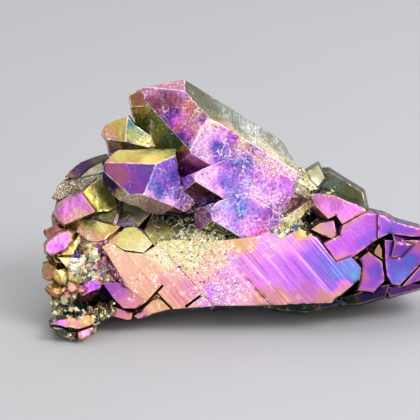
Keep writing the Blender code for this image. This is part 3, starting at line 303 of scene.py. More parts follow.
PLATE_SPOTS = (
    Spot(-17.2, 11.5, PEACH, 0.9, 0.2, 0.2), Spot(-15.8, 11.0, AMBER, 0.95, 0.3, 0.2),
    Spot(-13.4, 10.3, AMBER, 0.95, 0.3, 0.3, 0.3), Spot(-14.6, 9.2, PEACH, 0.95, 0.25, 0.15, 0.2),
    Spot(-11.6, 8.6, PEACH, 0.95, 0.2, 0.25, 0.5), Spot(-13.4, 7.4, PEACH, 0.92, 0.2, 0.5, 0.2),
    Spot(-9.8, 10.1, STRAW, 0.98, 0.5, 0.6, 0.3), Spot(-10.4, 7.1, SALMON, 0.92, 0.15, 0.3, 0.5),
    Spot(-8.3, 6.0, SALMON, 0.9, 0.1, 0.15, 0.6), Spot(-6.6, 4.9, SALMON, 0.9, 0.15, 0.1, 0.6),
    Spot(-11.6, 5.8, PEACH, 0.9, 0.15, 0.3, 0.2), Spot(-8.3, 8.2, SALMON, 0.95, 0.3, 0.55, 0.5),
    Spot(-12.2, 11.0, STRAW, 0.95, 0.4, 0.5, 0.2), Spot(-7.1, 6.8, ROSE, 0.92, 0.15, 0.35, 0.6),
    Spot(-14.0, 6.2, ROSE, 0.7, 0.1, 0.3), Spot(-9.0, 11.6, STRAW, 1, 0.15, 0.7),
    Spot(-6.2, 11.3, STRAW, 0.9, 0.2, 0.9), Spot(-3.5, 10.8, PEACH, 1, 0.35, 0.9),
    Spot(-6.8, 9.6, STRAW, 1, 0.4, 0.85), Spot(-5.0, 8.4, SALMON, 1, 0.3, 0.8, 0.1),
    Spot(-2.6, 8.4, ORCHID, 1, 0.18, 0.75, 0.2), Spot(-3.0, 9.6, PEACH, 1, 0.5, 0.9, 0.1),
    Spot(-5.6, 6.8, ROSE, 0.97, 0.15, 0.7, 0.3), Spot(-2.0, 6.2, ORCHID, 0.95, 0.2, 0.85, 0.2),
    Spot(-3.5, 5.3, ORCHID, 0.92, 0.2, 0.7, 0.2), Spot(0.1, 5.3, ROSE, 0.95, 0.25, 0.3, 0.3),
    Spot(-4.4, 6.0, MAGENTA, 0.95, 0.1, 0.6, 0.2), Spot(-5.0, 12.2, STRAW, 0.8, 0.1, 0.8),
    Spot(-2.0, 9.8, ORCHID, 1, 0.22, 0.4, 0.7), Spot(-0.1, 9.6, ORCHID, 1, 0.12, 0.05, 0.9),
    Spot(1.8, 10.8, ORCHID, 1, 0.12, 0.05, 0.8), Spot(2.8, 8.6, MAGENTA, 1, 0.12, 0.05, 0.9),
    Spot(1.0, 7.1, ORCHID, 0.97, 0.1, 0.05, 0.9), Spot(1.3, 5.4, SALMON, 0.76, 0.15, 0.05, 0.8),
    Spot(4.3, 5.3, SALMON, 0.76, 0.15, 0, 0.7), Spot(6.4, 5.4, ROSE, 0.76, 0.12, 0, 0.5),
    Spot(5.2, 7.2, MAGENTA, 0.97, 0.1, -0.2, 0.9), Spot(5.8, 9.6, MAGENTA, 0.97, 0.08, -0.2, 0.9),
    Spot(7.6, 10.2, VIOLET, 0.95, 0.08, -0.3, 0.9), Spot(9.4, 9.6, INDIGO, 0.95, 0.1, -0.3, 0.9),
    Spot(8.5, 8.0, VIOLET, 0.94, 0.08, -0.3, 0.8), Spot(10.8, 8.4, BLUE, 0.97, 0.12, -0.3, 0.6),
    Spot(12.1, 9.1, BLUE, 0.97, 0.15, -0.3, 0.4), Spot(13.1, 7.8, AZURE, 0.85, 0.1, -0.3, 0.2),
    Spot(10.2, 6.6, VIOLET, 0.9, 0.1, -0.3, 0.5), Spot(11.8, 6.6, ROSE, 0.88, 0.1, -0.2, 0.3),
    Spot(9.4, 5.5, SALMON, 0.72, 0.15, -0.1, 0.3), Spot(7.3, 6.2, ORCHID, 0.72, 0.1, -0.2, 0.5),
    Spot(10.9, 5.6, PEACH, 0.9, 0.15, 0.1, 0.1), Spot(5.2, 11.9, ORCHID, 1, 0.15, 0.05, 0.7),
    Spot(2.5, 12.1, ORCHID, 1, 0.25, 0.3, 0.3), Spot(4.3, 12.2, ORCHID, 1, 0.3, 0.2, 0.2),
    Spot(7.1, 12.0, MAGENTA, 0.97, 0.15, 0, 0.9), Spot(8.8, 11.4, VIOLET, 0.93, 0.1, 0, 0.9),
    Spot(-1.3, 11.9, AMBER, 0.9, 0.15, 0.3, 0.1), Spot(0.1, 12.0, PEACH, 0.92, 0.2, 0.1, 0.2),
    Spot(3.5, 13.0, ORCHID, 0.95, 0.3, 0.3), Spot(6.8, 12.8, STRAW, 0.95, 0.15, 0.1),
    Spot(7.4, 13.4, GOLD, 0.8, 0.1, 0.2), Spot(-10.4, 14.5, FERN, 0.16, 0.05, 0.1),
    Spot(-11.6, 12.7, OLIVE, 0.9, 0.05, 0.15, 0.2), Spot(-11.6, 12.0, GOLD, 0.85, 0.12, 0.3, 0.2),
    Spot(-9.8, 13.0, OLIVE, 0.62, 0.05, 0.4, 0.2), Spot(-10.4, 13.7, OLIVE, 0.4, 0.05, 0.2, 0.2),
    Spot(-8.5, 14.0, OLIVE, 0.18, 0, 0.45), Spot(-7.3, 14.5, NIGHT, 0.1, 0, 0.5),
    Spot(-7.1, 13.0, OLIVE, 0.32, 0.05, 0.6), Spot(-5.3, 13.4, OLIVE, 0.18, 0, 0.55),
    Spot(-4.4, 12.2, STRAW, 0.85, 0.3, 0.8), Spot(-3.8, 13.0, OLIVE, 0.4, 0.05, 0.5),
    Spot(-9.2, 12.0, STRAW, 0.85, 0.1, 0.6), Spot(-9.8, 15.1, NIGHT, 0.12, 0, 0.4),
    Spot(-3.4, 13.6, OLIVE, 0.26, 0.1, 0.4, 0.2), Spot(-1.3, 12.5, OLIVE, 0.45, 0.1, 0.2, 0.6),
    Spot(-5.0, 14.4, ORCHID, 0.4, 0.3, 0.8), Spot(-1.8, 13.1, FERN, 0.24, 0.1, 0.3, 0.4),
    Spot(-0.7, 12.6, OLIVE, 0.6, 0.1, 0.2, 0.5), Spot(-6.5, 12.5, STRAW, 0.75, 0.1, 0.8),
    Spot(-15.2, 12.2, STRAW, 0.92, 0.05, 0.2), Spot(-13.7, 13.2, STRAW, 0.85, 0.05, 0.15),
    Spot(-13.9, 11.5, STRAW, 0.92, 0.15, 0.35), Spot(-12.1, 11.8, STRAW, 0.95, 0.3, 0.5),
    Spot(-16.1, 12.2, PEACH, 0.9, 0.2, 0.2), Spot(-19.8, 13.0, PEACH, 0.78, 0.2, 0.2),
    Spot(-18.0, 12.7, AMBER, 0.8, 0.15, 0.15, 0.3), Spot(-17.3, 13.7, STRAW, 0.92, 0.1, 0.15, 0.3),
    Spot(-19.1, 14.3, OLIVE, 0.8, 0.1, 0.15, 0.3), Spot(-16.2, 13.6, GOLD, 0.8, 0.1, 0.2, 0.3),
    Spot(-18.7, 12.2, PEACH, 0.85, 0.3, 0.3), Spot(-11.3, 4.1, PEACH, 0.9, 0.15, 0.1, 0.3),
    Spot(-12.8, 3.4, ROSE, 0.75, 0.15, 0.2), Spot(-10.4, 4.9, AMBER, 0.85, 0.1, 0.15, 0.3),
    Spot(-9.8, 4.0, PEACH, 0.88, 0.15, 0.1, 0.3), Spot(-15.2, 3.5, ROSE, 0.75, 0.1, 0.1),
    Spot(-16.2, 3.7, ROSE, 0.7, 0.1, 0.1), Spot(-14.3, 3.1, SALMON, 0.75, 0.1, 0.1),
    Spot(-16.4, 9.4, MAGENTA, 0.6, 0.05, 0.4), Spot(-15.6, 8.3, ROSE, 0.6, 0.05, 0.6),
    Spot(-17.6, 11.2, ORCHID, 0.9, 0.15, 0.3), Spot(-15.2, 7.3, MAGENTA, 0.5, 0.05, 0.5),
    Spot(-17.0, 10.4, ROSE, 0.9, 0.1, 0.3), Spot(-16.4, 6.7, MAGENTA, 0.62, 0.05, 0.1),
    Spot(-15.0, 6.2, ORCHID, 0.62, 0.05, 0.15), Spot(-14.3, 5.0, ROSE, 0.8, 0.1, 0.2),
    Spot(-13.0, 4.4, SALMON, 0.8, 0.1, 0.2), Spot(-17.2, 7.0, MAGENTA, 0.68, 0.05, 0.1),
    Spot(7.0, 4.1, TEAL, 0.17, 0.05, 0.1), Spot(3.4, 4.2, TEAL, 0.2, 0.05, 0.1),
    Spot(10.0, 4.4, BLUE, 0.17, 0.05, 0.1), Spot(6.4, 4.4, TEAL, 0.22, 0.1, 0.1),
    Spot(-1.9, 4.2, NIGHT, 0.12, 0, 0.1), Spot(-7.3, 4.0, NIGHT, 0.1, 0, 0.1),
    Spot(11.8, 4.7, TEAL, 0.22, 0.05, 0.2),
)
EAST_SPOTS = (
    Spot(8.5, 16.9, ORCHID, 0.52, 0.12, 0.03), Spot(10.7, 16.4, ORCHID, 0.52, 0.08, 0.03, 0.2),
    Spot(12.6, 15.8, ORCHID, 0.82, 0.05, 0.05, 0.2), Spot(11.2, 14.9, ORCHID, 0.82, 0.1, 0.1),
    Spot(9.4, 16.0, ORCHID, 0.79, 0.1, 0.1), Spot(9.5, 13.6, ROSE, 0.82, 0.25, 0.1),
    Spot(8.4, 13.3, PEACH, 0.83, 0.25, 0.15), Spot(10.1, 14.2, ORCHID, 0.79, 0.2, 0.15),
    Spot(9.8, 12.7, SALMON, 0.79, 0.2, 0.2), Spot(10.6, 11.0, MAGENTA, 0.86, 0.05, 0, 0.2),
    Spot(11.3, 10.0, ROSE, 0.82, 0.1), Spot(11.9, 12.5, MAGENTA, 0.82, 0.05, 0, 0.3),
    Spot(13.3, 13.4, MAGENTA, 0.82, 0.08, 0.05, 0.3), Spot(12.6, 14.5, ORCHID, 0.79, 0.12, 0.05, 0.1),
    Spot(13.8, 11.8, VIOLET, 0.79, 0.05, 0, 0.2), Spot(15.4, 14.2, MAGENTA, 0.73, 0.05, 0.05),
    Spot(15.5, 12.7, VIOLET, 0.76, 0.05), Spot(13.0, 11.0, MAGENTA, 0.77, 0.05),
    Spot(11.8, 13.7, ORCHID, 0.77, 0.1, 0.05, 0.1), Spot(16.7, 14.4, VIOLET, 0.69, 0.08, 0.05),
    Spot(18.0, 13.4, VIOLET, 0.64, 0.05, 0.05), Spot(19.8, 13.2, VIOLET, 0.6, 0.05, 0.1),
    Spot(17.2, 13.2, INDIGO, 0.65, 0.05, 0.05), Spot(21.2, 13.0, ROSE, 0.52, 0.05, 0.2),
    Spot(16.9, 11.5, VIOLET, 0.67, 0.05, 0.05), Spot(18.4, 11.5, VIOLET, 0.65, 0.05, 0.05),
    Spot(18.1, 9.6, INDIGO, 0.73, 0.05), Spot(19.6, 10.1, BLUE, 0.73, 0.05), Spot(18.4, 7.8, BLUE, 0.88, 0.1),
    Spot(17.8, 8.4, INDIGO, 0.82, 0.05), Spot(20.4, 11.5, ROSE, 0.57, 0.05, 0.1),
    Spot(19.8, 10.9, MAGENTA, 0.6, 0.05, 0.1), Spot(21.7, 10.6, VIOLET, 0.6, 0.05, 0.1),
    Spot(22.2, 9.8, INDIGO, 0.53, 0.05, 0.1), Spot(14.5, 10.1, ORCHID, 0.63, 0.05, 0.05),
    Spot(15.0, 8.4, VIOLET, 0.67, 0.05, 0, 0.2), Spot(15.5, 7.0, VIOLET, 0.71, 0.05, 0, 0.1),
    Spot(13.9, 7.9, ROSE, 0.65, 0.05, 0.1), Spot(16.0, 8.6, INDIGO, 0.67, 0.05),
    Spot(14.0, 6.7, MAGENTA, 0.67, 0.05, 0.05), Spot(19.9, 7.8, VIOLET, 0.62, 0.05, 0.05),
    Spot(21.4, 8.4, MAGENTA, 0.55, 0.05, 0.1), Spot(18.8, 7.0, VIOLET, 0.6, 0.05, 0.05),
    Spot(15.7, 10.9, PEACH, 0.53, 0.15, 0.2), Spot(14.3, 11.2, SALMON, 0.26, 0, 0.1),
    Spot(16.3, 11.3, SALMON, 0.17, 0, 0.1), Spot(18.7, 12.4, VIOLET, 0.52, 0, 0.05),
    Spot(17.4, 12.0, VIOLET, 0.52, 0, 0.05), Spot(14.2, 5.5, INDIGO, 0.16, 0.05, 0.05),
    Spot(12.4, 5.2, TEAL, 0.14, 0.05, 0.1), Spot(11.9, 6.0, TEAL, 0.22, 0.05, 0.1),
    Spot(18.6, 6.4, VIOLET, 0.32, 0.05, 0.05), Spot(16.6, 6.1, INDIGO, 0.21, 0.05, 0.05),
    Spot(20.8, 6.7, MAGENTA, 0.25, 0.05, 0.05), Spot(10.6, 19.1, FERN, 0.18, 0.3, 0.25),
    Spot(9.4, 19.9, OLIVE, 0.18, 0.1, 0.2), Spot(12.1, 18.2, OLIVE, 0.13, 0.1, 0.19),
    Spot(12.6, 16.8, OLIVE, 0.1, 0.15, 0.25), Spot(13.6, 17.5, OLIVE, 0.12, 0.1, 0.15),
    Spot(10.0, 18.2, TEAL, 0.13, 0.3, 0.35), Spot(10.4, 20.5, OLIVE, 0.12, 0.05, 0.12),
    Spot(12.6, 19.1, OLIVE, 0.12, 0.05, 0.12), Spot(14.2, 17.4, OLIVE, 0.08, 0.05, 0.1),
    Spot(18.5, 15.0, VIOLET, 0.3, 0.05, 0.1), Spot(19.8, 14.5, VIOLET, 0.3, 0.05, 0.1),
    Spot(17.2, 15.5, VIOLET, 0.3, 0.05, 0.1), Spot(9.4, 18.1, GOLD, 0.26, 0.2, 0.35),
    Spot(11.2, 17.6, OLIVE, 0.18, 0.1, 0.3), Spot(7.8, 20.3, FERN, 1.17, 0.3, 0.1),
    Spot(8.5, 20.5, STRAW, 0.7, 0.3, 0.1), Spot(8.0, 19.1, STRAW, 1.3, 0.8, 0.1),
    Spot(9.0, 19.7, STRAW, 0.7, 0.5, 0.15), Spot(7.1, 19.7, OLIVE, 0.78, 0.1, 0.2),
    Spot(7.6, 21.1, OLIVE, 0.52, 0.1, 0.2), Spot(5.4, 13.6, AZURE, 0.6, 0.3, 0.5),
    Spot(7.2, 13.7, TEAL, 0.35, 0.1, 0.4), Spot(7.3, 14.6, TEAL, 0.3, 0.1, 0.4),
    Spot(8.5, 15.5, ROSE, 0.95, 0.15, 0.2), Spot(7.1, 15.2, OLIVE, 0.3, 0.1, 0.5),
    Spot(3.7, 13.3, STRAW, 0.85, 0.4, 0.7), Spot(6.4, 14.4, TEAL, 0.3, 0.1, 0.6),
    Spot(4.7, 12.7, AZURE, 0.8, 0.5, 0.4), Spot(6.1, 13.0, STRAW, 0.8, 0.4, 0.5),
    Spot(9.0, 11.8, ORCHID, 0.69, 0.3, 0.2), Spot(8.2, 14.3, ROSE, 0.69, 0.15, 0.3),
    Spot(11.0, 13.7, ORCHID, 1.03, 0.2, 0.1),
)
LOBE_SPOTS = (
    Spot(-22.7, 12.0, ORCHID, 1.7, 0.1, 0.08), Spot(-23.5, 11.5, ORCHID, 1.65, 0.05, 0.11),
    Spot(-21.7, 12.7, ORCHID, 1.7, 0.04, 0.08), Spot(-21.2, 13.1, ORCHID, 1.61, 0.1, 0.08),
    Spot(-22.8, 11.4, MAGENTA, 1.36, 0.05, 0.11), Spot(-23.4, 12.8, SALMON, 0.85, 0.1, 0.22),
    Spot(-21.0, 11.5, GOLD, 1.27, 0.15, 0.22), Spot(-22.0, 10.7, AMBER, 1.36, 0.15, 0.15),
    Spot(-20.3, 12.5, STRAW, 1.02, 0.2, 0.3), Spot(-20.4, 10.6, BLUE, 0.27, 0.1, 0.22),
    Spot(-21.7, 9.7, STRAW, 1.87, 0.15, 0.08), Spot(-20.8, 9.8, AZURE, 1.7, 0.6, 0.08),
    Spot(-22.4, 10.1, STRAW, 1.87, 0.2, 0.08), Spot(-21.2, 9.1, AZURE, 1.36, 0.5, 0.15),
    Spot(-20.5, 8.8, STRAW, 1.02, 0.4, 0.68), Spot(-19.7, 9.5, STRAW, 1.19, 0.35, 0.68),
    Spot(-18.2, 10.1, STRAW, 1.27, 0.4, 0.68), Spot(-18.8, 8.6, STRAW, 1.36, 0.35, 0.68),
    Spot(-17.6, 9.1, GOLD, 1.19, 0.2, 0.6), Spot(-19.1, 11.3, GOLD, 1.19, 0.3, 0.6),
    Spot(-17.2, 7.9, STRAW, 1.36, 0.3, 0.6), Spot(-18.2, 7.9, STRAW, 1.36, 0.35, 0.6),
    Spot(-23.9, 8.5, SALMON, 1.1, 0.05, 0.15), Spot(-24.4, 8.9, OLIVE, 0.68, 0.05, 0.22),
    Spot(-23.0, 8.9, AMBER, 0.77, 0.05, 0.22), Spot(-22.9, 7.8, GOLD, 1.02, 0.1, 0.3),
    Spot(-21.8, 7.6, STRAW, 1.87, 0.2, 0.3), Spot(-21.4, 8.0, STRAW, 1.78, 0.2, 0.22),
    Spot(-20.0, 7.7, STRAW, 1.44, 0.15, 0.22), Spot(-21.0, 6.0, SALMON, 1.44, 0.15, 0.15),
    Spot(-21.6, 6.0, ROSE, 1.36, 0.1, 0.15), Spot(-20.5, 5.5, OLIVE, 1.19, 0.1, 0.22),
    Spot(-22.8, 6.1, AMBER, 1.27, 0.1, 0.15), Spot(-22.2, 5.0, OLIVE, 0.85, 0.1, 0.38),
    Spot(-23.3, 6.8, GOLD, 0.85, 0.05, 0.3), Spot(-19.3, 6.0, MAGENTA, 1.27, 0.05, 0.08),
    Spot(-18.5, 7.0, MAGENTA, 1.27, 0.05, 0.08), Spot(-17.9, 6.7, VIOLET, 1.02, 0.05, 0.08),
    Spot(-19.8, 5.9, ROSE, 1.27, 0.1, 0.08), Spot(-18.8, 5.5, MAGENTA, 1.36, 0.05, 0.08),
    Spot(-22.4, 2.4, MAGENTA, 1.27, 0.1, 0.08), Spot(-21.2, 2.6, PEACH, 1.36, 0.1, 0.08),
    Spot(-20.6, 2.2, SALMON, 1.33, 0.1, 0.15), Spot(-19.3, 2.6, AMBER, 1.27, 0.1, 0.15),
    Spot(-18.6, 2.5, PEACH, 1.19, 0.1, 0.15), Spot(-19.6, 1.1, ROSE, 1.19, 0.2, 0.15),
    Spot(-19.0, 1.4, ORCHID, 1.19, 0.3, 0.15), Spot(-20.0, 0.6, SALMON, 0.77, 0.1, 0.3),
    Spot(-22.0, 1.3, TEAL, 0.42, 0.1, 0.08), Spot(-23.0, 1.6, TEAL, 0.51, 0.1, 0.08),
    Spot(-21.2, 0.7, OLIVE, 0.59, 0.1, 0.45), Spot(-18.1, 5.3, TEAL, 0.22, 0.1, 0.04),
    Spot(-17.5, 4.7, NIGHT, 0.2, 0.05, 0.04), Spot(-18.6, 4.6, NIGHT, 0.17, 0.05, 0.04),
    Spot(-17.0, 5.8, VIOLET, 0.34, 0.05, 0.08), Spot(-19.1, 4.6, FERN, 0.27, 0.1, 0.22),
    Spot(-20.0, 4.4, TEAL, 0.31, 0.1, 0.22), Spot(-21.0, 4.3, OLIVE, 0.34, 0.1, 0.38),
    Spot(-20.6, 3.6, OLIVE, 0.42, 0.1, 0.45), Spot(-18.8, 3.5, OLIVE, 0.48, 0.1, 0.45),
    Spot(-17.9, 3.4, OLIVE, 0.44, 0.1, 0.52), Spot(-16.9, 4.0, AMBER, 0.68, 0.1, 0.45),
    Spot(-17.2, 3.1, OLIVE, 0.51, 0.1, 0.45), Spot(-18.2, 2.6, FERN, 0.51, 0.1, 0.3),
    Spot(-22.7, 3.7, OLIVE, 0.77, 0.2, 0.52),
)
SPOTS = {
    Zone.CROWN: CROWN_SPOTS,
    Zone.HAZE: HAZE_SPOTS,
    Zone.PLATE: PLATE_SPOTS,
    Zone.EAST: EAST_SPOTS,
    Zone.LOBE: LOBE_SPOTS,
}


def scatter(grid: np.ndarray, seed: int) -> np.ndarray:
    """A fixed random value for every whole-numbered cell.

    Args:
        grid: Whole-numbered cell positions, one to a row.
        seed: Picks another set of values.

    Returns:
        One value from 0 to 1 for each row.
    """
    start, each, last = 747796405, 2654435769, 2246822519  # large odd factors, which spread the bits
    whole = grid.astype(np.int64).astype(np.uint32)
    mixed = np.full(len(whole), seed * start % 2**32, np.uint32)
    for column in whole.T:
        mixed = (mixed ^ column) * np.uint32(each)
        mixed ^= mixed >> np.uint32(15)
    mixed = mixed * np.uint32(last)
    mixed ^= mixed >> np.uint32(13)
    return mixed / float(2**32)


def smooth(part: np.ndarray) -> np.ndarray:
    """Round off the ends of a rise from 0 to 1."""
    return part * part * (3 - 2 * part)


def ease(value: np.ndarray, low: float, high: float) -> np.ndarray:
    """Rise smoothly from 0 at `low` to 1 at `high`."""
    return smooth(np.clip((value - low) / (high - low), 0, 1))


def unit(rows: np.ndarray, least: float = 1e-12) -> np.ndarray:
    """Each row at a length of one, or less where it is shorter than `least`."""
    return rows / np.maximum(np.linalg.norm(rows, axis=1), least)[:, None]


def drift(points: np.ndarray, size: float, seed: int) -> np.ndarray:
    """A smooth random value that changes over a given distance.

    Args:
        points: Positions, one to a row.
        size: The distance over which the value changes.
        seed: Picks another pattern.

    Returns:
        One value from 0 to 1 for each point.
    """
    cell = points / size
    corner = np.floor(cell)
    part = smooth(cell - corner)
    total = np.zeros(len(points))
    for step in itertools.product((0, 1), repeat=3):
        weight = np.prod(np.where(np.array(step) == 1, part, 1 - part), axis=1)
        total += weight * scatter(corner + np.array(step), seed)
    return total


def cells(points: np.ndarray, size: float, seed: int) -> tuple[np.ndarray, np.ndarray]:
    """Split space into irregular cells round jittered seeds.

    Args:
        points: Positions, one to a row.
        size: The usual width of a cell.
        seed: Picks another pattern.

    Returns:
        The offset from the nearest seed, and a random value for its cell.
    """
    own = seed + 7  # clear of the three numbers that jitter the seeds
    spots = points / size
    corner = np.floor(spots)
    best = np.full(len(points), math.inf)
    offset = np.zeros_like(points)
    luck = np.zeros(len(points))
    for step in itertools.product((-1, 0, 1), repeat=3):
        cell = corner + np.array(step)
        jitter = np.stack([scatter(cell, seed + k) for k in range(3)], axis=1)
        away = spots - cell - jitter
        gap = np.linalg.norm(away, axis=1)
        closer = gap < best
        best[closer] = gap[closer]
        offset[closer] = away[closer]
        luck[closer] = scatter(cell, own)[closer]
    return offset * size, luck


@dataclass
class Shell:
    """The solid's surface as plain arrays, in millimetres."""

    points: np.ndarray
    corners: np.ndarray  # three point numbers for each triangle
    facet: np.ndarray  # which flat face each triangle is part of

    @classmethod
    def of(cls, node: bpy.types.Object, flat: float = math.radians(2.0), weld: int = 4) -> "Shell":
        """Read a CAD node and find its flat faces.

        Args:
            node: The CAD node's object.
            flat: The bend below which two triangles are one flat face.
            weld: The decimals that the places of two points share where they are one.

        Returns:
            The shell with its points welded.
        """
        mesh = node.data
        mesh.calc_loop_triangles()
        raw = np.array([v.co for v in mesh.vertices]) / MM
        triangles = np.array([t.vertices[:] for t in mesh.loop_triangles])
        points, same = np.unique(np.round(raw, weld), axis=0, return_inverse=True)
        corners = same.reshape(-1)[triangles]
        whole = (corners != np.roll(corners, 1, axis=1)).all(axis=1)
        shell = cls(points, corners[whole], np.zeros(0, int))
        shell.facet = shell.flat_faces(math.cos(flat))
        return shell

    def normals(self) -> np.ndarray:
        """The unit normal of every triangle."""
        return unit(self.crosses())

    def crosses(self) -> np.ndarray:
        """The normal of every triangle, twice as long as its area."""
        a, b, c = (self.points[self.corners[:, k]] for k in range(3))
        return np.cross(b - a, c - a)

    def centres(self) -> np.ndarray:
        """The middle of every triangle."""
        return self.points[self.corners].mean(axis=1)

    def sides(self) -> tuple[np.ndarray, np.ndarray, np.ndarray]:
        """Every edge once.

        Returns:
            The two ends of each edge, the edge on each side of each triangle, and the two
            triangles beside each edge.
        """
        ends = np.sort(np.concatenate([self.corners[:, (k, (k + 1) % 3)] for k in range(3)]), axis=1)
        edges, which = np.unique(ends, axis=0, return_inverse=True)
        which = which.reshape(-1)
        order = np.argsort(which, kind="stable")
        beside = (order % len(self.corners)).reshape(-1, 2)
        return edges, which.reshape(3, -1).T, beside

    def flat_faces(self, close: float) -> np.ndarray:
        """Number the flat faces.

        Args:
            close: The cosine above which two neighbouring triangles are level.

        Returns:
            The number of each triangle's face.
        """
        leader = list(range(len(self.corners)))

        def find(one: int) -> int:
            """Follow the leaders up to the first of the group.

            Args:
                one: A triangle's number.

            Returns:
                The number that stands for its group.
            """
            while leader[one] != one:
                leader[one] = leader[leader[one]]
                one = leader[one]
            return one

        normals = self.normals()
        _, _, beside = self.sides()
        level = (normals[beside[:, 0]] * normals[beside[:, 1]]).sum(axis=1) > close
        for left, right in beside[level]:
            leader[find(left)] = find(right)
        return np.unique([find(i) for i in range(len(leader))], return_inverse=True)[1].reshape(-1)

    def split(self, reach: np.ndarray) -> "Shell":
        """Halve every edge that is too long, until none is.

        Args:
            reach: The longest edge allowed for each flat face.

        Returns:
            The finer shell.
        """
        shell = self
        while True:
            edges, sides, beside = shell.sides()
            ends = shell.points[edges]
            length = np.linalg.norm(ends[:, 0] - ends[:, 1], axis=1)
            too_long = length > reach[shell.facet[beside]].min(axis=1)
            if not too_long.any():
                return shell
            shell = shell.halved(edges, sides, too_long)

    def halved(self, edges: np.ndarray, sides: np.ndarray, cut: np.ndarray) -> "Shell":
        """Cut the marked edges at their middles and rebuild the triangles round them.

        Args:
            edges: The two ends of each edge.
            sides: The three edges of each triangle.
            cut: Which edges to cut.

        Returns:
            The shell with the cuts made.
        """
        middle = np.full(len(edges), -1)
        middle[cut] = len(self.points) + np.arange(cut.sum())
        points = np.concatenate([self.points, self.points[edges[cut]].mean(axis=1)])
        mids = middle[sides]
        count = (mids >= 0).sum(axis=1)
        made, owner = [self.corners[count == 0]], [self.facet[count == 0]]
        for many, turns in ((1, 3), (2, 3), (3, 1)):
            for turn in range(turns):
                mid = np.roll(mids, -turn, axis=1)
                here = (count == many) & (mid[:, : min(many, 2)] >= 0).all(axis=1)
                a, b, c = np.roll(self.corners, -turn, axis=1)[here].T
                ab, bc, ca = mid[here].T
                pieces = {
                    1: ((a, ab, c), (ab, b, c)),
                    2: ((a, ab, c), (ab, bc, c), (ab, b, bc)),
                    3: ((a, ab, ca), (ab, b, bc), (ca, bc, c), (ab, bc, ca)),
                }[many]
                made += [np.stack(piece, axis=1) for piece in pieces]
                owner += [self.facet[here]] * len(pieces)
        return Shell(points, np.concatenate(made), np.concatenate(owner))


@dataclass(frozen=True)
class Wild:
    """The finish far from every spot: it drifts over the surface and differs from face to face."""

    slow: float = 9.0  # millimetres over which the stage drifts
    quick: float = 2.6  # and over which light and frost do
    stage: float = 0.06  # the least stage,
    stage_rise: float = 0.86  # how far it rises,
    stage_play: float = 0.22  # and how far faces differ
    stretch: float = 1.5  # spreads the slow drift over the whole rise
    stretch_from: float = -0.25
    light: float = 0.5
    light_play: float = 0.32
    light_drift: float = 0.12
    pale_play: float = 0.12
    frost: float = 0.2
    frost_drift: float = 0.5
    frosty: Span = (0.45, 0.8)  # the drift at which frost begins and is full
    lines_play: float = 0.3

    def paint(self, spots: np.ndarray, luck: list[np.ndarray]) -> np.ndarray:
        """The finish at some corners.

        Args:
            spots: The three corners of each triangle.
            luck: Four random values for each triangle.

        Returns:
            The finish of each corner.
        """
        flat = spots.reshape(-1, 3)
        slow = drift(flat, self.slow, Pattern.STAGE).reshape(-1, 3)
        quick = drift(flat, self.quick, Pattern.SHADE).reshape(-1, 3)
        rise = self.stretch * slow + self.stretch_from + self.stage_play * (luck[0] - 0.5)
        paint = np.zeros((*spots.shape[:2], len(Part)))
        paint[..., Part.STAGE] = self.stage + self.stage_rise * np.clip(rise, 0, 1)
        paint[..., Part.LIGHT] = self.light + self.light_play * luck[1] + self.light_drift * quick
        paint[..., Part.PALE] = self.pale_play * luck[2]
        paint[..., Part.FROST] = self.frost + self.frost_drift * ease(quick, *self.frosty)
        paint[..., Part.LINES] = self.lines_play * luck[3]
        return paint


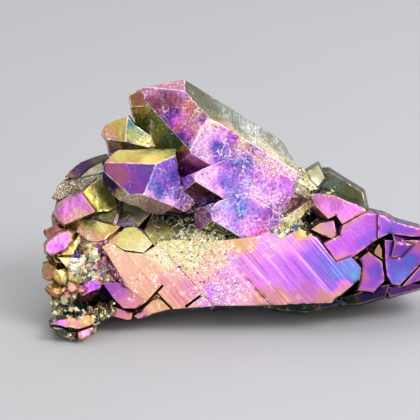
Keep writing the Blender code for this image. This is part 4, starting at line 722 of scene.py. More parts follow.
@dataclass
class Survey:
    """What is known of each flat face of the coarse shell: its zone, size, place and finish."""

    shell: Shell
    showing: Showing
    spots: dict[Zone, tuple[Spot, ...]]
    wild: Wild = Wild()
    near: float = 6.5  # how far a spot's finish reaches over faces that have none
    fading: float = 0.6  # and the share of that at which it begins to fade
    level: float = 0.985  # the cosine above which neighbouring faces share their finish
    step: float = 0.45  # and the greatest step between them
    core: float = 0.15  # square millimetres: keeps a spot's weight finite at the spot itself
    turned: float = 0.35  # the cosine past which a face looks away from the viewer
    behind: float = 9.0  # how far away an untouched face is of the rear,
    behind_turned: float = 3.0  # and how far if it looks away
    borrowed: int = 3  # how many spots finish an untouched face,
    borrowed_play: float = 0.16  # how far its stage may differ,
    shade: float = 0.62  # the least light that it keeps,
    shade_play: float = 0.4  # how much more it may keep,
    wild_frost: float = 0.5  # how much of the wild frost shows on it,
    least_frost: float = 0.25  # and its least frost
    zone: np.ndarray = field(init=False)
    area: np.ndarray = field(init=False)
    normal: np.ndarray = field(init=False)
    centre: np.ndarray = field(init=False)
    touched: dict[int, list[int]] = field(init=False)
    places: np.ndarray = field(init=False)
    finish: np.ndarray = field(init=False)
    spot_zone: np.ndarray = field(init=False)
    spot_face: np.ndarray = field(init=False)

    def __post_init__(self) -> None:
        """Measure the faces, then touch them with every spot."""
        shell = self.shell
        count = shell.facet.max() + 1
        cross = shell.crosses()
        size = np.linalg.norm(cross, axis=1) / 2
        self.area = np.bincount(shell.facet, size)
        total = [np.bincount(shell.facet, column, count) for column in cross.T]
        self.normal = unit(np.stack(total, axis=1))
        middle = [np.bincount(shell.facet, column * size, count) for column in shell.centres().T]
        self.centre = np.stack(middle, axis=1) / self.area[:, None]
        self.touch()
        self.name_zones()

    def touch(self) -> None:
        """Find the face under every spot, along the viewer's line of sight."""
        eye = self.showing.place(self.showing.eye)
        tree = BVHTree.FromPolygons(self.shell.points.tolist(), self.shell.corners.tolist())
        self.touched = {}
        places, finish, zones, faces = [], [], [], []
        for zone, spots in self.spots.items():
            for spot in spots:
                ahead = Vector(self.showing.place((spot.right, spot.up, 0.0)) - eye).normalized()
                hit, _, triangle, _ = tree.ray_cast(Vector(eye), ahead)
                if hit is None:
                    log.info("the spot at %s, %s of %s misses", spot.right, spot.up, zone.name)
                    continue
                face = int(self.shell.facet[triangle])
                self.touched.setdefault(face, []).append(len(places))
                faces.append(face)
                places.append(hit[:])
                finish.append(spot.finish())
                zones.append(zone.value)
        self.places, self.finish = np.array(places), np.array(finish)
        self.spot_zone, self.spot_face = np.array(zones), np.array(faces)

    def gaps(self) -> np.ndarray:
        """The distance from every face to every spot."""
        return np.linalg.norm(self.centre[:, None] - self.places[None], axis=2)

    def name_zones(self) -> None:
        """Give every face the zone of its own spots, or of the nearest one."""
        gap = self.gaps()
        nearest = gap.argmin(axis=1)
        self.zone = np.where(gap.min(axis=1) < self.near, self.spot_zone[nearest], Zone.REAR.value)
        for face, spots in self.touched.items():
            self.zone[face] = np.bincount(self.spot_zone[spots]).argmax()
        away = self.showing.seen(self.centre)[:, 2]
        turned = self.normal @ self.showing.axes()[2] > self.turned
        untouched = ~np.isin(np.arange(len(self.zone)), list(self.touched))
        behind = (away > self.behind) | (turned & (away > self.behind_turned))
        self.zone[untouched & behind] = Zone.REAR.value

    def paint(self, fine: Shell) -> np.ndarray:
        """The finish at every corner of a finer shell.

        Args:
            fine: The shell split from the coarse one, still flat.

        Returns:
            The finish of each corner of each triangle.
        """
        spots = fine.points[fine.corners]
        faces = np.arange(len(self.area))
        luck = [scatter(faces[:, None], Pattern.FACE + k)[fine.facet][:, None] for k in range(4)]
        paint = self.wild.paint(spots, luck)
        order = np.argsort(fine.facet, kind="stable")
        starts = np.searchsorted(fine.facet[order], np.arange(len(faces) + 1))
        gap = self.gaps()
        for face in faces:
            mine = order[starts[face] : starts[face + 1]]
            if face in self.touched:
                paint[mine] = self.blend(spots[mine], self.sharing(face))
                continue
            lent = self.blend(spots[mine], np.argsort(gap[face])[: self.borrowed])
            stage = lent[..., Part.STAGE] + self.borrowed_play * (luck[0][mine] - 0.5)
            lent[..., Part.STAGE] = np.clip(stage, 0, 1)
            lent[..., Part.LIGHT] *= self.shade + self.shade_play * luck[1][mine]
            if self.zone[face] != Zone.REAR.value:
                paint[mine, :, Part.FROST] *= self.wild_frost
                lent[..., Part.FROST] = np.maximum(lent[..., Part.FROST], self.least_frost)
            far = ease(gap[face].min(), self.fading * self.near, self.near)
            paint[mine] = paint[mine] * far + lent * (1 - far)
        return paint

    def sharing(self, face: int) -> np.ndarray:
        """The spots that finish a face: those of its zone on it and on faces nearly level with it.

        Args:
            face: The number of the face.

        Returns:
            The numbers of the spots.
        """
        alike = self.normal[self.spot_face] @ self.normal[face] > self.level
        apart = np.abs((self.places - self.centre[face]) @ self.normal[face]) < self.step
        same = self.spot_zone == self.zone[face]
        return np.flatnonzero(alike & apart & same)

    def blend(self, spots: np.ndarray, chosen: np.ndarray) -> np.ndarray:
        """Mix the finishes of some spots, each counting more the nearer it is.

        Args:
            spots: The corners to finish.
            chosen: The numbers of the spots to mix.

        Returns:
            The finish of each corner.
        """
        gap = spots[..., None, :] - self.places[chosen]
        weight = 1 / ((gap**2).sum(axis=-1) + self.core) ** 2
        weight /= weight.sum(axis=-1, keepdims=True)
        return weight @ self.finish[chosen]


@dataclass
class Ridges:
    """Distances from every point to the sharp edges of the coarse shell, ridges and creases apart."""

    shell: Shell
    sharp: float = math.radians(14.0)  # the least bend at an edge
    step: float = 0.12  # how far apart the beads are that an edge is measured by
    reach: float = 3.0

    def distances(self, points: np.ndarray) -> tuple[np.ndarray, np.ndarray]:
        """Measure to the nearest ridge and the nearest crease.

        Args:
            points: Where to measure from.

        Returns:
            Two distances for each point, never above `reach`.
        """
        edges, _, beside = self.shell.sides()
        normals, centres = self.shell.normals(), self.shell.centres()
        left, right = beside[:, 0], beside[:, 1]
        sharp = (normals[left] * normals[right]).sum(axis=1) < math.cos(self.sharp)
        hollow = (normals[left] * (centres[right] - centres[left])).sum(axis=1) > 0
        return self.nearest(points, edges[sharp & ~hollow]), self.nearest(points, edges[sharp & hollow])

    def nearest(self, points: np.ndarray, edges: np.ndarray) -> np.ndarray:
        """Measure to the nearest of some edges.

        Args:
            points: Where to measure from.
            edges: The two ends of each edge.

        Returns:
            The distance for each point.
        """
        beads, ways = [], []
        for a, b in self.shell.points[edges]:
            length = np.linalg.norm(b - a)
            count = max(1, int(length / self.step))
            along = (np.arange(count) + 0.5)[:, None] / count
            beads.append(a + (b - a) * along)
            ways.append(np.repeat([(b - a) / max(length, 1e-9)], count, axis=0))
        beads, ways = np.concatenate(beads), np.concatenate(ways)
        tree = KDTree(len(beads))
        for number, bead in enumerate(beads):
            tree.insert(bead, number)
        tree.balance()
        found = np.array([tree.find(point)[1] for point in points])
        gap = points - beads[found]
        along = (gap * ways[found]).sum(axis=1)
        slide = np.clip(along, -self.step, self.step)
        off = gap - ways[found] * slide[:, None]
        return np.minimum(np.linalg.norm(off, axis=1), self.reach)


@dataclass(frozen=True)
class Texture:
    """How rough the skin of one zone is, in millimetres."""

    terrace: float = 0.0  # growth steps: their height and the width of each level
    terrace_size: float = 3.0
    stripe: float = 0.0  # growth lines across the crystal: their depth
    blocks: float = 0.0  # intergrown small crystals: how deep the gaps between them are
    block_size: float = 1.0
    rough: float = 0.01
    rough_size: float = 0.35
    keen: float = 1.0  # how well flat faces and their edges are kept
    pits: float = 0.0
    growth: Span = (41.0, 0.0)  # the crystal axis: aim and tip in degrees


TEXTURES = {
    Zone.CROWN: Texture(
        terrace=0.04, terrace_size=2.8, stripe=0.02, rough=0.012, pits=0.07, growth=(148.8, -16.8)
    ),
    Zone.HAZE: Texture(terrace=0.03, stripe=0.03, rough=0.03, growth=(130.0, -10.0)),
    Zone.PLATE: Texture(stripe=0.05, rough=0.008),
    Zone.EAST: Texture(stripe=0.02, rough=0.008),
    Zone.LOBE: Texture(blocks=0.16, block_size=0.9, rough=0.05, keen=0.4),
    Zone.REAR: Texture(terrace=0.05, stripe=0.03, blocks=0.32, block_size=1.4, rough=0.05, keen=0.2),
}


@dataclass
class Patch:
    """Some points of the shell, with what the carving needs to know of each."""

    points: np.ndarray
    face: np.ndarray  # the flat face that each belongs to
    frost: np.ndarray  # how sugary each is
    lines: np.ndarray  # how strong its growth lines are
    ridge: np.ndarray  # how far the nearest ridge is
    crease: np.ndarray  # and the nearest crease

    def where(self, here: np.ndarray) -> "Patch":
        """The marked points alone."""
        return Patch(*(getattr(self, one.name)[here] for one in fields(self)))


@dataclass
class Relief:
    """Carves growth steps, lines, pits and wear into the split shell."""

    survey: Survey
    ridge: np.ndarray
    crease: np.ndarray
    floor: tuple[np.ndarray, np.ndarray]  # the lowest and highest corner that the skin may reach
    on_edge: float = 0.02  # points this near to an edge move along the mean of its faces
    calm: Span = (0.05, 0.45)  # where the relief beside an edge begins and is full
    wobble: float = 0.7  # how far the outlines of the growth steps wander,
    wobble_size: float = 0.9  # and over what distance
    line_gap: float = 0.32  # between growth lines
    line_length: float = 9.0
    line_band: Span = (0.35, 0.8)
    block_height: float = 0.45  # as a share of the blocks' depth, like the next two
    block_slope: float = 0.7
    block_play: float = 0.4
    flat_area: Span = (5.0, 14.0)  # square millimetres: faces this broad keep fewer blocks
    flat_share: float = 0.85
    frost_rough: float = 4.0  # how much rougher full frost is
    pit_gap: float = 0.8
    pit_edge: Span = (-0.24, -0.08)
    pit_rare: float = 0.8  # the share of places without a pit
    pit_clear: float = 0.4  # how far pits stay from a ridge
    wear: float = 0.035  # how deep a ridge is worn,
    wear_width: float = 0.12  # and over what width
    nick: float = 0.12  # how deep its nicks are,
    nick_width: float = 0.35  # how wide,
    nick_size: float = 0.7  # and how long
    nick_band: Span = (0.6, 0.85)

    def carve(self, shell: Shell, paint: np.ndarray) -> np.ndarray:
        """Move the points of the shell inward.

        Args:
            shell: The split shell; its points are moved.
            paint: The finish at every corner.

        Returns:
            The pit mask of every point.
        """
        count = len(shell.points)
        corners = shell.corners.ravel()
        cross = shell.crosses()
        bulk = np.argsort(np.linalg.norm(cross, axis=1), kind="stable")
        face = np.zeros(count, int)
        face[shell.corners[bulk].ravel()] = np.repeat(shell.facet[bulk], 3)
        normal = self.survey.normal[face].copy()
        edge = (self.ridge < self.on_edge) | (self.crease < self.on_edge)
        summed = [np.bincount(corners, np.repeat(column, 3), count) for column in cross.T]
        normal[edge] = unit(np.stack(summed, axis=1))[edge]
        uses = np.maximum(np.bincount(corners, minlength=count), 1)
        frost, lines = (
            np.bincount(corners, paint[..., part].ravel(), count) / uses for part in (Part.FROST, Part.LINES)
        )
        every = Patch(shell.points, face, frost, lines, self.ridge, self.crease)
        depth, pit = np.zeros(count), np.zeros(count)
        for zone, texture in TEXTURES.items():
            here = self.survey.zone[face] == zone.value
            if here.any():
                depth[here], pit[here] = self.dig(every.where(here), texture)
        shell.points = np.clip(shell.points - normal * depth[:, None], *self.floor)
        return pit

    def dig(self, patch: Patch, texture: Texture) -> tuple[np.ndarray, np.ndarray]:
        """How deep the points of one zone are carved.

        Args:
            patch: The zone's points.
            texture: The zone's roughness.

        Returns:
            Depth and pit mask.
        """
        edge = np.minimum(patch.ridge, patch.crease)
        calm = 1 - texture.keen * (1 - ease(edge, *self.calm))
        depth = self.terraces(patch, texture) * calm
        depth += texture.stripe * patch.lines * self.stripes(patch, texture) * calm
        if texture.blocks:
            depth += self.blocks(patch, texture)
        grain = drift(patch.points, texture.rough_size, Pattern.GRAIN)
        depth += texture.rough * grain * (1 + self.frost_rough * np.maximum(patch.frost, 0))
        pit = self.pits(patch) if texture.pits else np.zeros(len(depth))
        depth += texture.pits * pit
        nicks = ease(drift(patch.points, self.nick_size, Pattern.CHIP), *self.nick_band)
        chip = nicks * (1 - ease(patch.ridge, 0.0, self.nick_width))
        depth += self.nick * chip + self.wear * (1 - ease(patch.ridge, 0.0, self.wear_width))
        return depth, pit

    def terraces(self, patch: Patch, texture: Texture) -> np.ndarray:
        """Growth steps with wandering outlines.

        Args:
            patch: The zone's points.
            texture: Gives the height and the width of the steps.

        Returns:
            Their depth.
        """
        parts = [drift(patch.points, self.wobble_size, Pattern.WOBBLE + k) for k in range(3)]
        wobble = np.stack(parts, axis=1) - 0.5
        _, level = cells(patch.points + self.wobble * wobble, texture.terrace_size, Pattern.TERRACE)
        return texture.terrace * level

    def stripes(self, patch: Patch, texture: Texture) -> np.ndarray:
        """Growth lines, which differ from face to face.

        Args:
            patch: The zone's points.
            texture: Gives the crystal axis.

        Returns:
            How deep in a line each point is, from 0 to 1.
        """
        along, across = self.growth(patch.points, patch.face, texture)
        apart = patch.face * 7.0  # far enough for faces to have nothing in common
        spots = np.stack([along / self.line_gap, across / self.line_length, apart], axis=1)
        return ease(drift(spots, 1.0, Pattern.STRIPE), *self.line_band)

    def blocks(self, patch: Patch, texture: Texture) -> np.ndarray:
        """Small intergrown crystals with tilted tops.

        Args:
            patch: The zone's points.
            texture: Gives the depth and the size of the blocks.

        Returns:
            Their depth.
        """
        offset, luck = cells(patch.points, texture.block_size, Pattern.BLOCK)
        own = (luck * 1e6)[:, None]  # a whole number for each block
        tilt = np.stack([scatter(own, Pattern.TILT + k) for k in range(3)], axis=1) - 0.5
        slope = (offset * tilt).sum(axis=1) / texture.block_size
        height = self.block_height + self.block_slope * slope + self.block_play * (luck - 0.5)
        broad = ease(self.survey.area[patch.face], *self.flat_area)
        return texture.blocks * np.clip(height, 0, 1) * (1 - self.flat_share * broad)

    def pits(self, patch: Patch) -> np.ndarray:
        """Small round pits, here and there.

        Args:
            patch: The zone's points.

        Returns:
            How deep in a pit each point is, from 0 to 1.
        """
        offset, luck = cells(patch.points, self.pit_gap, Pattern.PIT)
        bowl = ease(-np.linalg.norm(offset, axis=1), *self.pit_edge)
        return bowl * (luck > self.pit_rare) * (patch.ridge > self.pit_clear)

    def growth(self, points: np.ndarray, face: np.ndarray, texture: Texture) -> tuple[np.ndarray, np.ndarray]:
        """Measure along and across the crystal axis within each flat face.

        Args:
            points: Positions.
            face: The flat face that each belongs to.
            texture: Gives the axis.

        Returns:
            Millimetres along the axis and across it.
        """
        aim, tip = (math.radians(angle) for angle in texture.growth)
        axis = (math.cos(aim) * math.cos(tip), math.sin(aim) * math.cos(tip), math.sin(tip))
        way = np.array(axis) @ self.survey.showing.axes()
        normal = self.survey.normal[face]
        along = unit(way - normal * (normal @ way)[:, None], least=0.2)
        return (points * along).sum(axis=1), (points * np.cross(normal, along)).sum(axis=1)


def linear(colour: Screen) -> tuple[float, ...]:
    """The shader's value for a colour as a screen shows it."""
    parts = [c / 255 for c in colour]
    return (*(p / 12.92 if p < 0.04045 else ((p + 0.055) / 1.055) ** 2.4 for p in parts), 1.0)


class Wiring:
    """Short ways to add and join shader nodes in one tree."""

    def __init__(self, tree: Tree) -> None:
        """Work on a tree and find its group nodes, if it has any."""
        self.tree = tree
        self.ends = {node.bl_idname: node for node in tree.nodes}

    def input(self, name: str) -> Socket:
        """A named input of the group."""
        return self.ends["NodeGroupInput"].outputs[name]

    def output(self, name: str) -> Socket:
        """A named output of the group."""
        return self.ends["NodeGroupOutput"].inputs[name]

    def link(self, source: Value, target: Socket) -> None:
        """Join a socket to another, or set the other's value.

        Args:
            source: The socket or the value.
            target: What it feeds.
        """
        if isinstance(source, bpy.types.NodeSocket):
            self.tree.links.new(source, target)
        else:
            target.default_value = source

    def math(self, how: str, a: Value, b: Value = 0.0, clamp: bool = False) -> Socket:
        """One sum of two values.

        Args:
            how: The math node's operation.
            a: The first value.
            b: The second value.
            clamp: Keeps the result from 0 to 1.

        Returns:
            The result.
        """
        node = self.tree.nodes.new("ShaderNodeMath")
        node.operation = how
        node.use_clamp = clamp
        self.link(a, node.inputs[0])
        self.link(b, node.inputs[1])
        return node.outputs[0]

    def plus(self, a: Value, b: Value, clamp: bool = False) -> Socket:
        """The sum of two values."""
        return self.math("ADD", a, b, clamp)

    def minus(self, a: Value, b: Value, clamp: bool = False) -> Socket:
        """The first value less the second."""
        return self.math("SUBTRACT", a, b, clamp)

    def times(self, a: Value, b: Value, clamp: bool = False) -> Socket:
        """The product of two values."""
        return self.math("MULTIPLY", a, b, clamp)

    def over(self, a: Value, b: Value) -> Socket:
        """The first value divided by the second."""
        return self.math("DIVIDE", a, b)

    def scaled(self, vector: Socket, by: Value) -> Socket:
        """A vector or colour made longer or shorter.

        Args:
            vector: The vector or colour.
            by: The factor.

        Returns:
            The result.
        """
        node = self.tree.nodes.new("ShaderNodeVectorMath")
        node.operation = "SCALE"
        self.link(vector, node.inputs[0])
        self.link(by, node.inputs["Scale"])
        return node.outputs["Vector"]

    def noise(self, spot: Socket, scale: float, detail: float) -> Socket:
        """A noise value.

        Args:
            spot: Where it is read.
            scale: How fine it is.
            detail: How many finer layers it has.

        Returns:
            A value from 0 to 1.
        """
        node = self.tree.nodes.new("ShaderNodeTexNoise")
        self.link(spot, node.inputs["Vector"])
        node.inputs["Scale"].default_value = scale
        node.inputs["Detail"].default_value = detail
        return node.outputs["Fac"]

    def ramp(self, value: Socket, low: float, high: float) -> Socket:
        """Rise smoothly from 0 to 1.

        Args:
            value: What rises.
            low: Where the result is 0.
            high: Where it is 1.

        Returns:
            The result.
        """
        node = self.tree.nodes.new("ShaderNodeMapRange")
        node.interpolation_type = "SMOOTHSTEP"
        self.link(value, node.inputs["Value"])
        node.inputs["From Min"].default_value = low
        node.inputs["From Max"].default_value = high
        return node.outputs["Result"]

    def blend(self, part: Value, a: Value, b: Value, kind: str = "FLOAT") -> Socket:
        """Mix two values or two colours.

        Args:
            part: The share of the second.
            a: The first.
            b: The second.
            kind: FLOAT for values, RGBA for colours.

        Returns:
            The mixture.
        """
        node = self.tree.nodes.new("ShaderNodeMix")
        node.data_type = kind
        first, second, mixed = {"FLOAT": (2, 3, 0), "RGBA": (6, 7, 2)}[kind]
        self.link(part, node.inputs[0])
        self.link(a, node.inputs[first])
        self.link(b, node.inputs[second])
        return node.outputs[mixed]

    def mix(self, part: Value, a: Value, b: Value) -> Socket:
        """Mix two colours."""
        return self.blend(part, a, b, "RGBA")

    def split(self, vector: Socket) -> list[Socket]:
        """The three parts of a vector.

        Args:
            vector: The vector.

        Returns:
            Its parts.
        """
        node = self.tree.nodes.new("ShaderNodeSeparateXYZ")
        self.link(vector, node.inputs[0])
        return list(node.outputs)

    def join(self, *parts: Value) -> Socket:
        """A vector from its parts.

        Args:
            parts: Up to three parts; the others stay 0.

        Returns:
            The vector.
        """
        node = self.tree.nodes.new("ShaderNodeCombineXYZ")
        for value, target in zip(parts, node.inputs):
            self.link(value, target)
        return node.outputs[0]

    def attribute(self, name: str) -> dict[str, Socket]:
        """Read values that are stored on the mesh.

        Args:
            name: The attribute's name.

        Returns:
            Its vector, red, green, blue and alpha.
        """
        node = self.tree.nodes.new("ShaderNodeAttribute")
        node.attribute_name = name
        parts = self.tree.nodes.new("ShaderNodeSeparateColor")
        self.link(node.outputs["Color"], parts.inputs[0])
        red, green, blue = parts.outputs
        vector, alpha = node.outputs["Vector"], node.outputs["Alpha"]
        return {"vector": vector, "red": red, "green": green, "blue": blue, "alpha": alpha}

    def place(self) -> Socket:
        """The place on the object, in metres."""
        return self.tree.nodes.new("ShaderNodeTexCoord").outputs["Object"]

    def group(self, tree: Tree, **inputs: Value) -> dict[str, Socket]:
        """Place a shared effect.

        Args:
            tree: The effect's node group.
            inputs: A value or socket for each of its inputs.

        Returns:
            Its outputs by name.
        """
        node = self.tree.nodes.new("ShaderNodeGroup")
        node.node_tree = tree
        for name, value in inputs.items():
            self.link(value, node.inputs[name])
        return {socket.name: socket for socket in node.outputs}


class Effects:
    """The shader effects that several finishes share, each built once as a node group."""

    def __init__(self) -> None:
        """Build every group."""
        self.film = self.film_colour()
        self.lines = self.growth_lines()
        self.sugar = self.sugar_grains()
        # the painted highlight along worn edges; the gold rims use it too
        self.edge_glint = self.broken_edge_line()
        self.clouds = self.film_clouds()

    @staticmethod
    def empty(name: str, inputs: dict[str, str], outputs: tuple[str, ...], kind: str = "Float") -> Wiring:
        """A node group with named sockets.

        Args:
            name: The group's name.
            inputs: The socket type of each input.
            outputs: The outputs' names.
            kind: Their socket type.

        Returns:
            The wiring of the group, which has its input and output nodes.
        """
        tree = bpy.data.node_groups.new(name, "ShaderNodeTree")
        for way, sockets in (("INPUT", inputs), ("OUTPUT", dict.fromkeys(outputs, kind))):
            for title, sort in sockets.items():
                tree.interface.new_socket(title, in_out=way, socket_type=f"NodeSocket{sort}")
        tree.nodes.new("NodeGroupInput")
        tree.nodes.new("NodeGroupOutput")
        return Wiring(tree)

    def film_colour(self) -> Tree:
        """Turn the film's thickness into its colour, brightened and darkened by the painted light and shade.

        Returns:
            The group's tree.
        """
        milky = (0.93, 0.92, 0.9, 1.0)
        deepen = 1.25  # deepens the painted shade
        w = self.empty("film_colour", dict.fromkeys(("Stage", "Light", "Pale"), "Float"), ("Color",), "Color")
        ramp = w.tree.nodes.new("ShaderNodeValToRGB")
        marks = ramp.color_ramp.elements
        for _ in range(len(Hue) - len(marks)):
            marks.new(0.5)
        for mark, hue in zip(marks, Hue):
            mark.position = hue.stage
            mark.color = linear(hue.colour)
        w.link(w.input("Stage"), ramp.inputs["Fac"])
        pale = w.mix(w.input("Pale"), ramp.outputs["Color"], milky)
        w.link(w.scaled(pale, w.math("POWER", w.input("Light"), deepen)), w.output("Color"))
        return w.tree

    def growth_lines(self) -> Tree:
        """Fine lines across the crystal, from the growth coordinates.

        Returns:
            The group's tree.
        """
        stretch = 0.08  # how little the lines change along their length
        bold_share = 0.38
        w = self.empty("growth_lines", {"Growth": "Vector", "Spacing": "Float"}, ("Height", "Bright", "Dark"))
        along, across, strength = w.split(w.input("Growth"))
        spot = w.join(w.over(along, w.input("Spacing")), w.times(across, stretch))
        fine = w.noise(w.scaled(spot, by=1.5), scale=1.0, detail=3.0)
        bold = w.noise(w.scaled(spot, by=0.3), scale=1.0, detail=1.0)
        both = w.plus(w.times(fine, 1 - bold_share), w.times(bold, bold_share))
        bright = w.ramp(both, low=0.545, high=0.59)
        dark = w.minus(1.0, w.ramp(both, low=0.415, high=0.46))
        w.link(w.times(both, strength), w.output("Height"))
        w.link(w.times(bright, strength), w.output("Bright"))
        w.link(w.times(dark, strength), w.output("Dark"))
        return w.tree

    def sugar_grains(self) -> Tree:
        """Tiny bright grains where the surface is frosted, and a web of fine pale veins round them.

        Returns:
            The group's tree.
        """
        patch_share = 0.4
        bare = 0.73  # the level that a grain needs without frost,
        easing = 0.23  # how much full frost lowers it,
        spread = 0.5  # and how much full frost thickens veins and dust
        inputs = {"Place": "Vector", "Frost": "Float", "Grain": "Float"}
        w = self.empty("sugar_grains", inputs, ("Mask", "Vein", "Dust"))
        frost = w.input("Frost")
        spot = w.scaled(w.input("Place"), w.over(1.0, w.input("Grain")))
        fine = w.noise(spot, scale=1.0, detail=2.5)
        patch = w.noise(w.scaled(spot, by=0.16), scale=1.0, detail=2.0)
        web = w.noise(w.scaled(spot, by=0.3), scale=1.0, detail=3.5)
        level = w.plus(w.times(fine, 1 - patch_share), w.times(patch, patch_share))
        need = w.minus(bare, w.times(frost, easing))
        off = w.math("ABSOLUTE", w.minus(web, 0.5))
        thin = w.minus(1.0, w.ramp(off, low=0.0, high=0.03))
        thick = w.ramp(w.plus(patch, w.times(frost, spread)), low=0.52, high=0.77)
        dust = w.ramp(fine, low=0.5, high=0.66)
        w.link(w.ramp(w.minus(level, need), low=0.0, high=0.04), w.output("Mask"))
        w.link(w.times(thin, thick), w.output("Vein"))
        w.link(w.times(dust, thick), w.output("Dust"))
        return w.tree

    def broken_edge_line(self) -> Tree:
        """A broken line along an edge, for the painted highlight along worn edges and for the gold rims.

        Returns:
            The group's tree.
        """
        inputs = {"Distance": "Float", "Width": "Float", "Place": "Vector"}
        w = self.empty("broken_edge_line", inputs, ("Mask",))
        near = w.minus(1.0, w.over(w.input("Distance"), w.input("Width")), clamp=True)
        breaks = w.noise(w.input("Place"), scale=1.1, detail=3.0)
        w.link(w.times(near, w.ramp(breaks, low=0.3, high=0.62)), w.output("Mask"))
        return w.tree

    def film_clouds(self) -> Tree:
        """Slow and quick changes in the film's thickness, round zero.

        Returns:
            The group's tree.
        """
        w = self.empty("film_clouds", {"Place": "Vector", "Size": "Float"}, ("Cloud", "Fleck"))
        spot = w.scaled(w.input("Place"), w.over(1.0, w.input("Size")))
        for name, scale in (("Cloud", 1.0), ("Fleck", 6.0)):
            w.link(w.minus(w.noise(spot, scale, detail=3.0), 0.5), w.output(name))
        return w.tree


def fresh(name: str) -> tuple[bpy.types.Material, Wiring, bpy.types.bpy_prop_collection]:
    """A new material with its shader.

    Args:
        name: Its name.

    Returns:
        The material, its wiring and the shader's inputs.
    """
    made = bpy.data.materials.new(name)
    made.use_nodes = True
    return made, Wiring(made.node_tree), made.node_tree.nodes["Principled BSDF"].inputs


@dataclass
class Signals:
    """What a film's material reads from the mesh and from the shared effects."""

    w: Wiring
    film: dict[str, Socket]  # red is the stage, green the painted light and shade, blue the paleness, alpha the frost
    wear: dict[str, Socket]  # red is how far a ridge is, green a crease, and blue is the pit mask; they place the painted edge highlight, the gold rims and the painted shade in creases and pits
    clouds: dict[str, Socket]
    fleck: Socket  # the clouds' flecks, stronger where there is frost
    lines: dict[str, Socket]
    sugar: dict[str, Socket]
    # the painted highlight along worn edges
    edge_glint: Socket
    rim: Socket


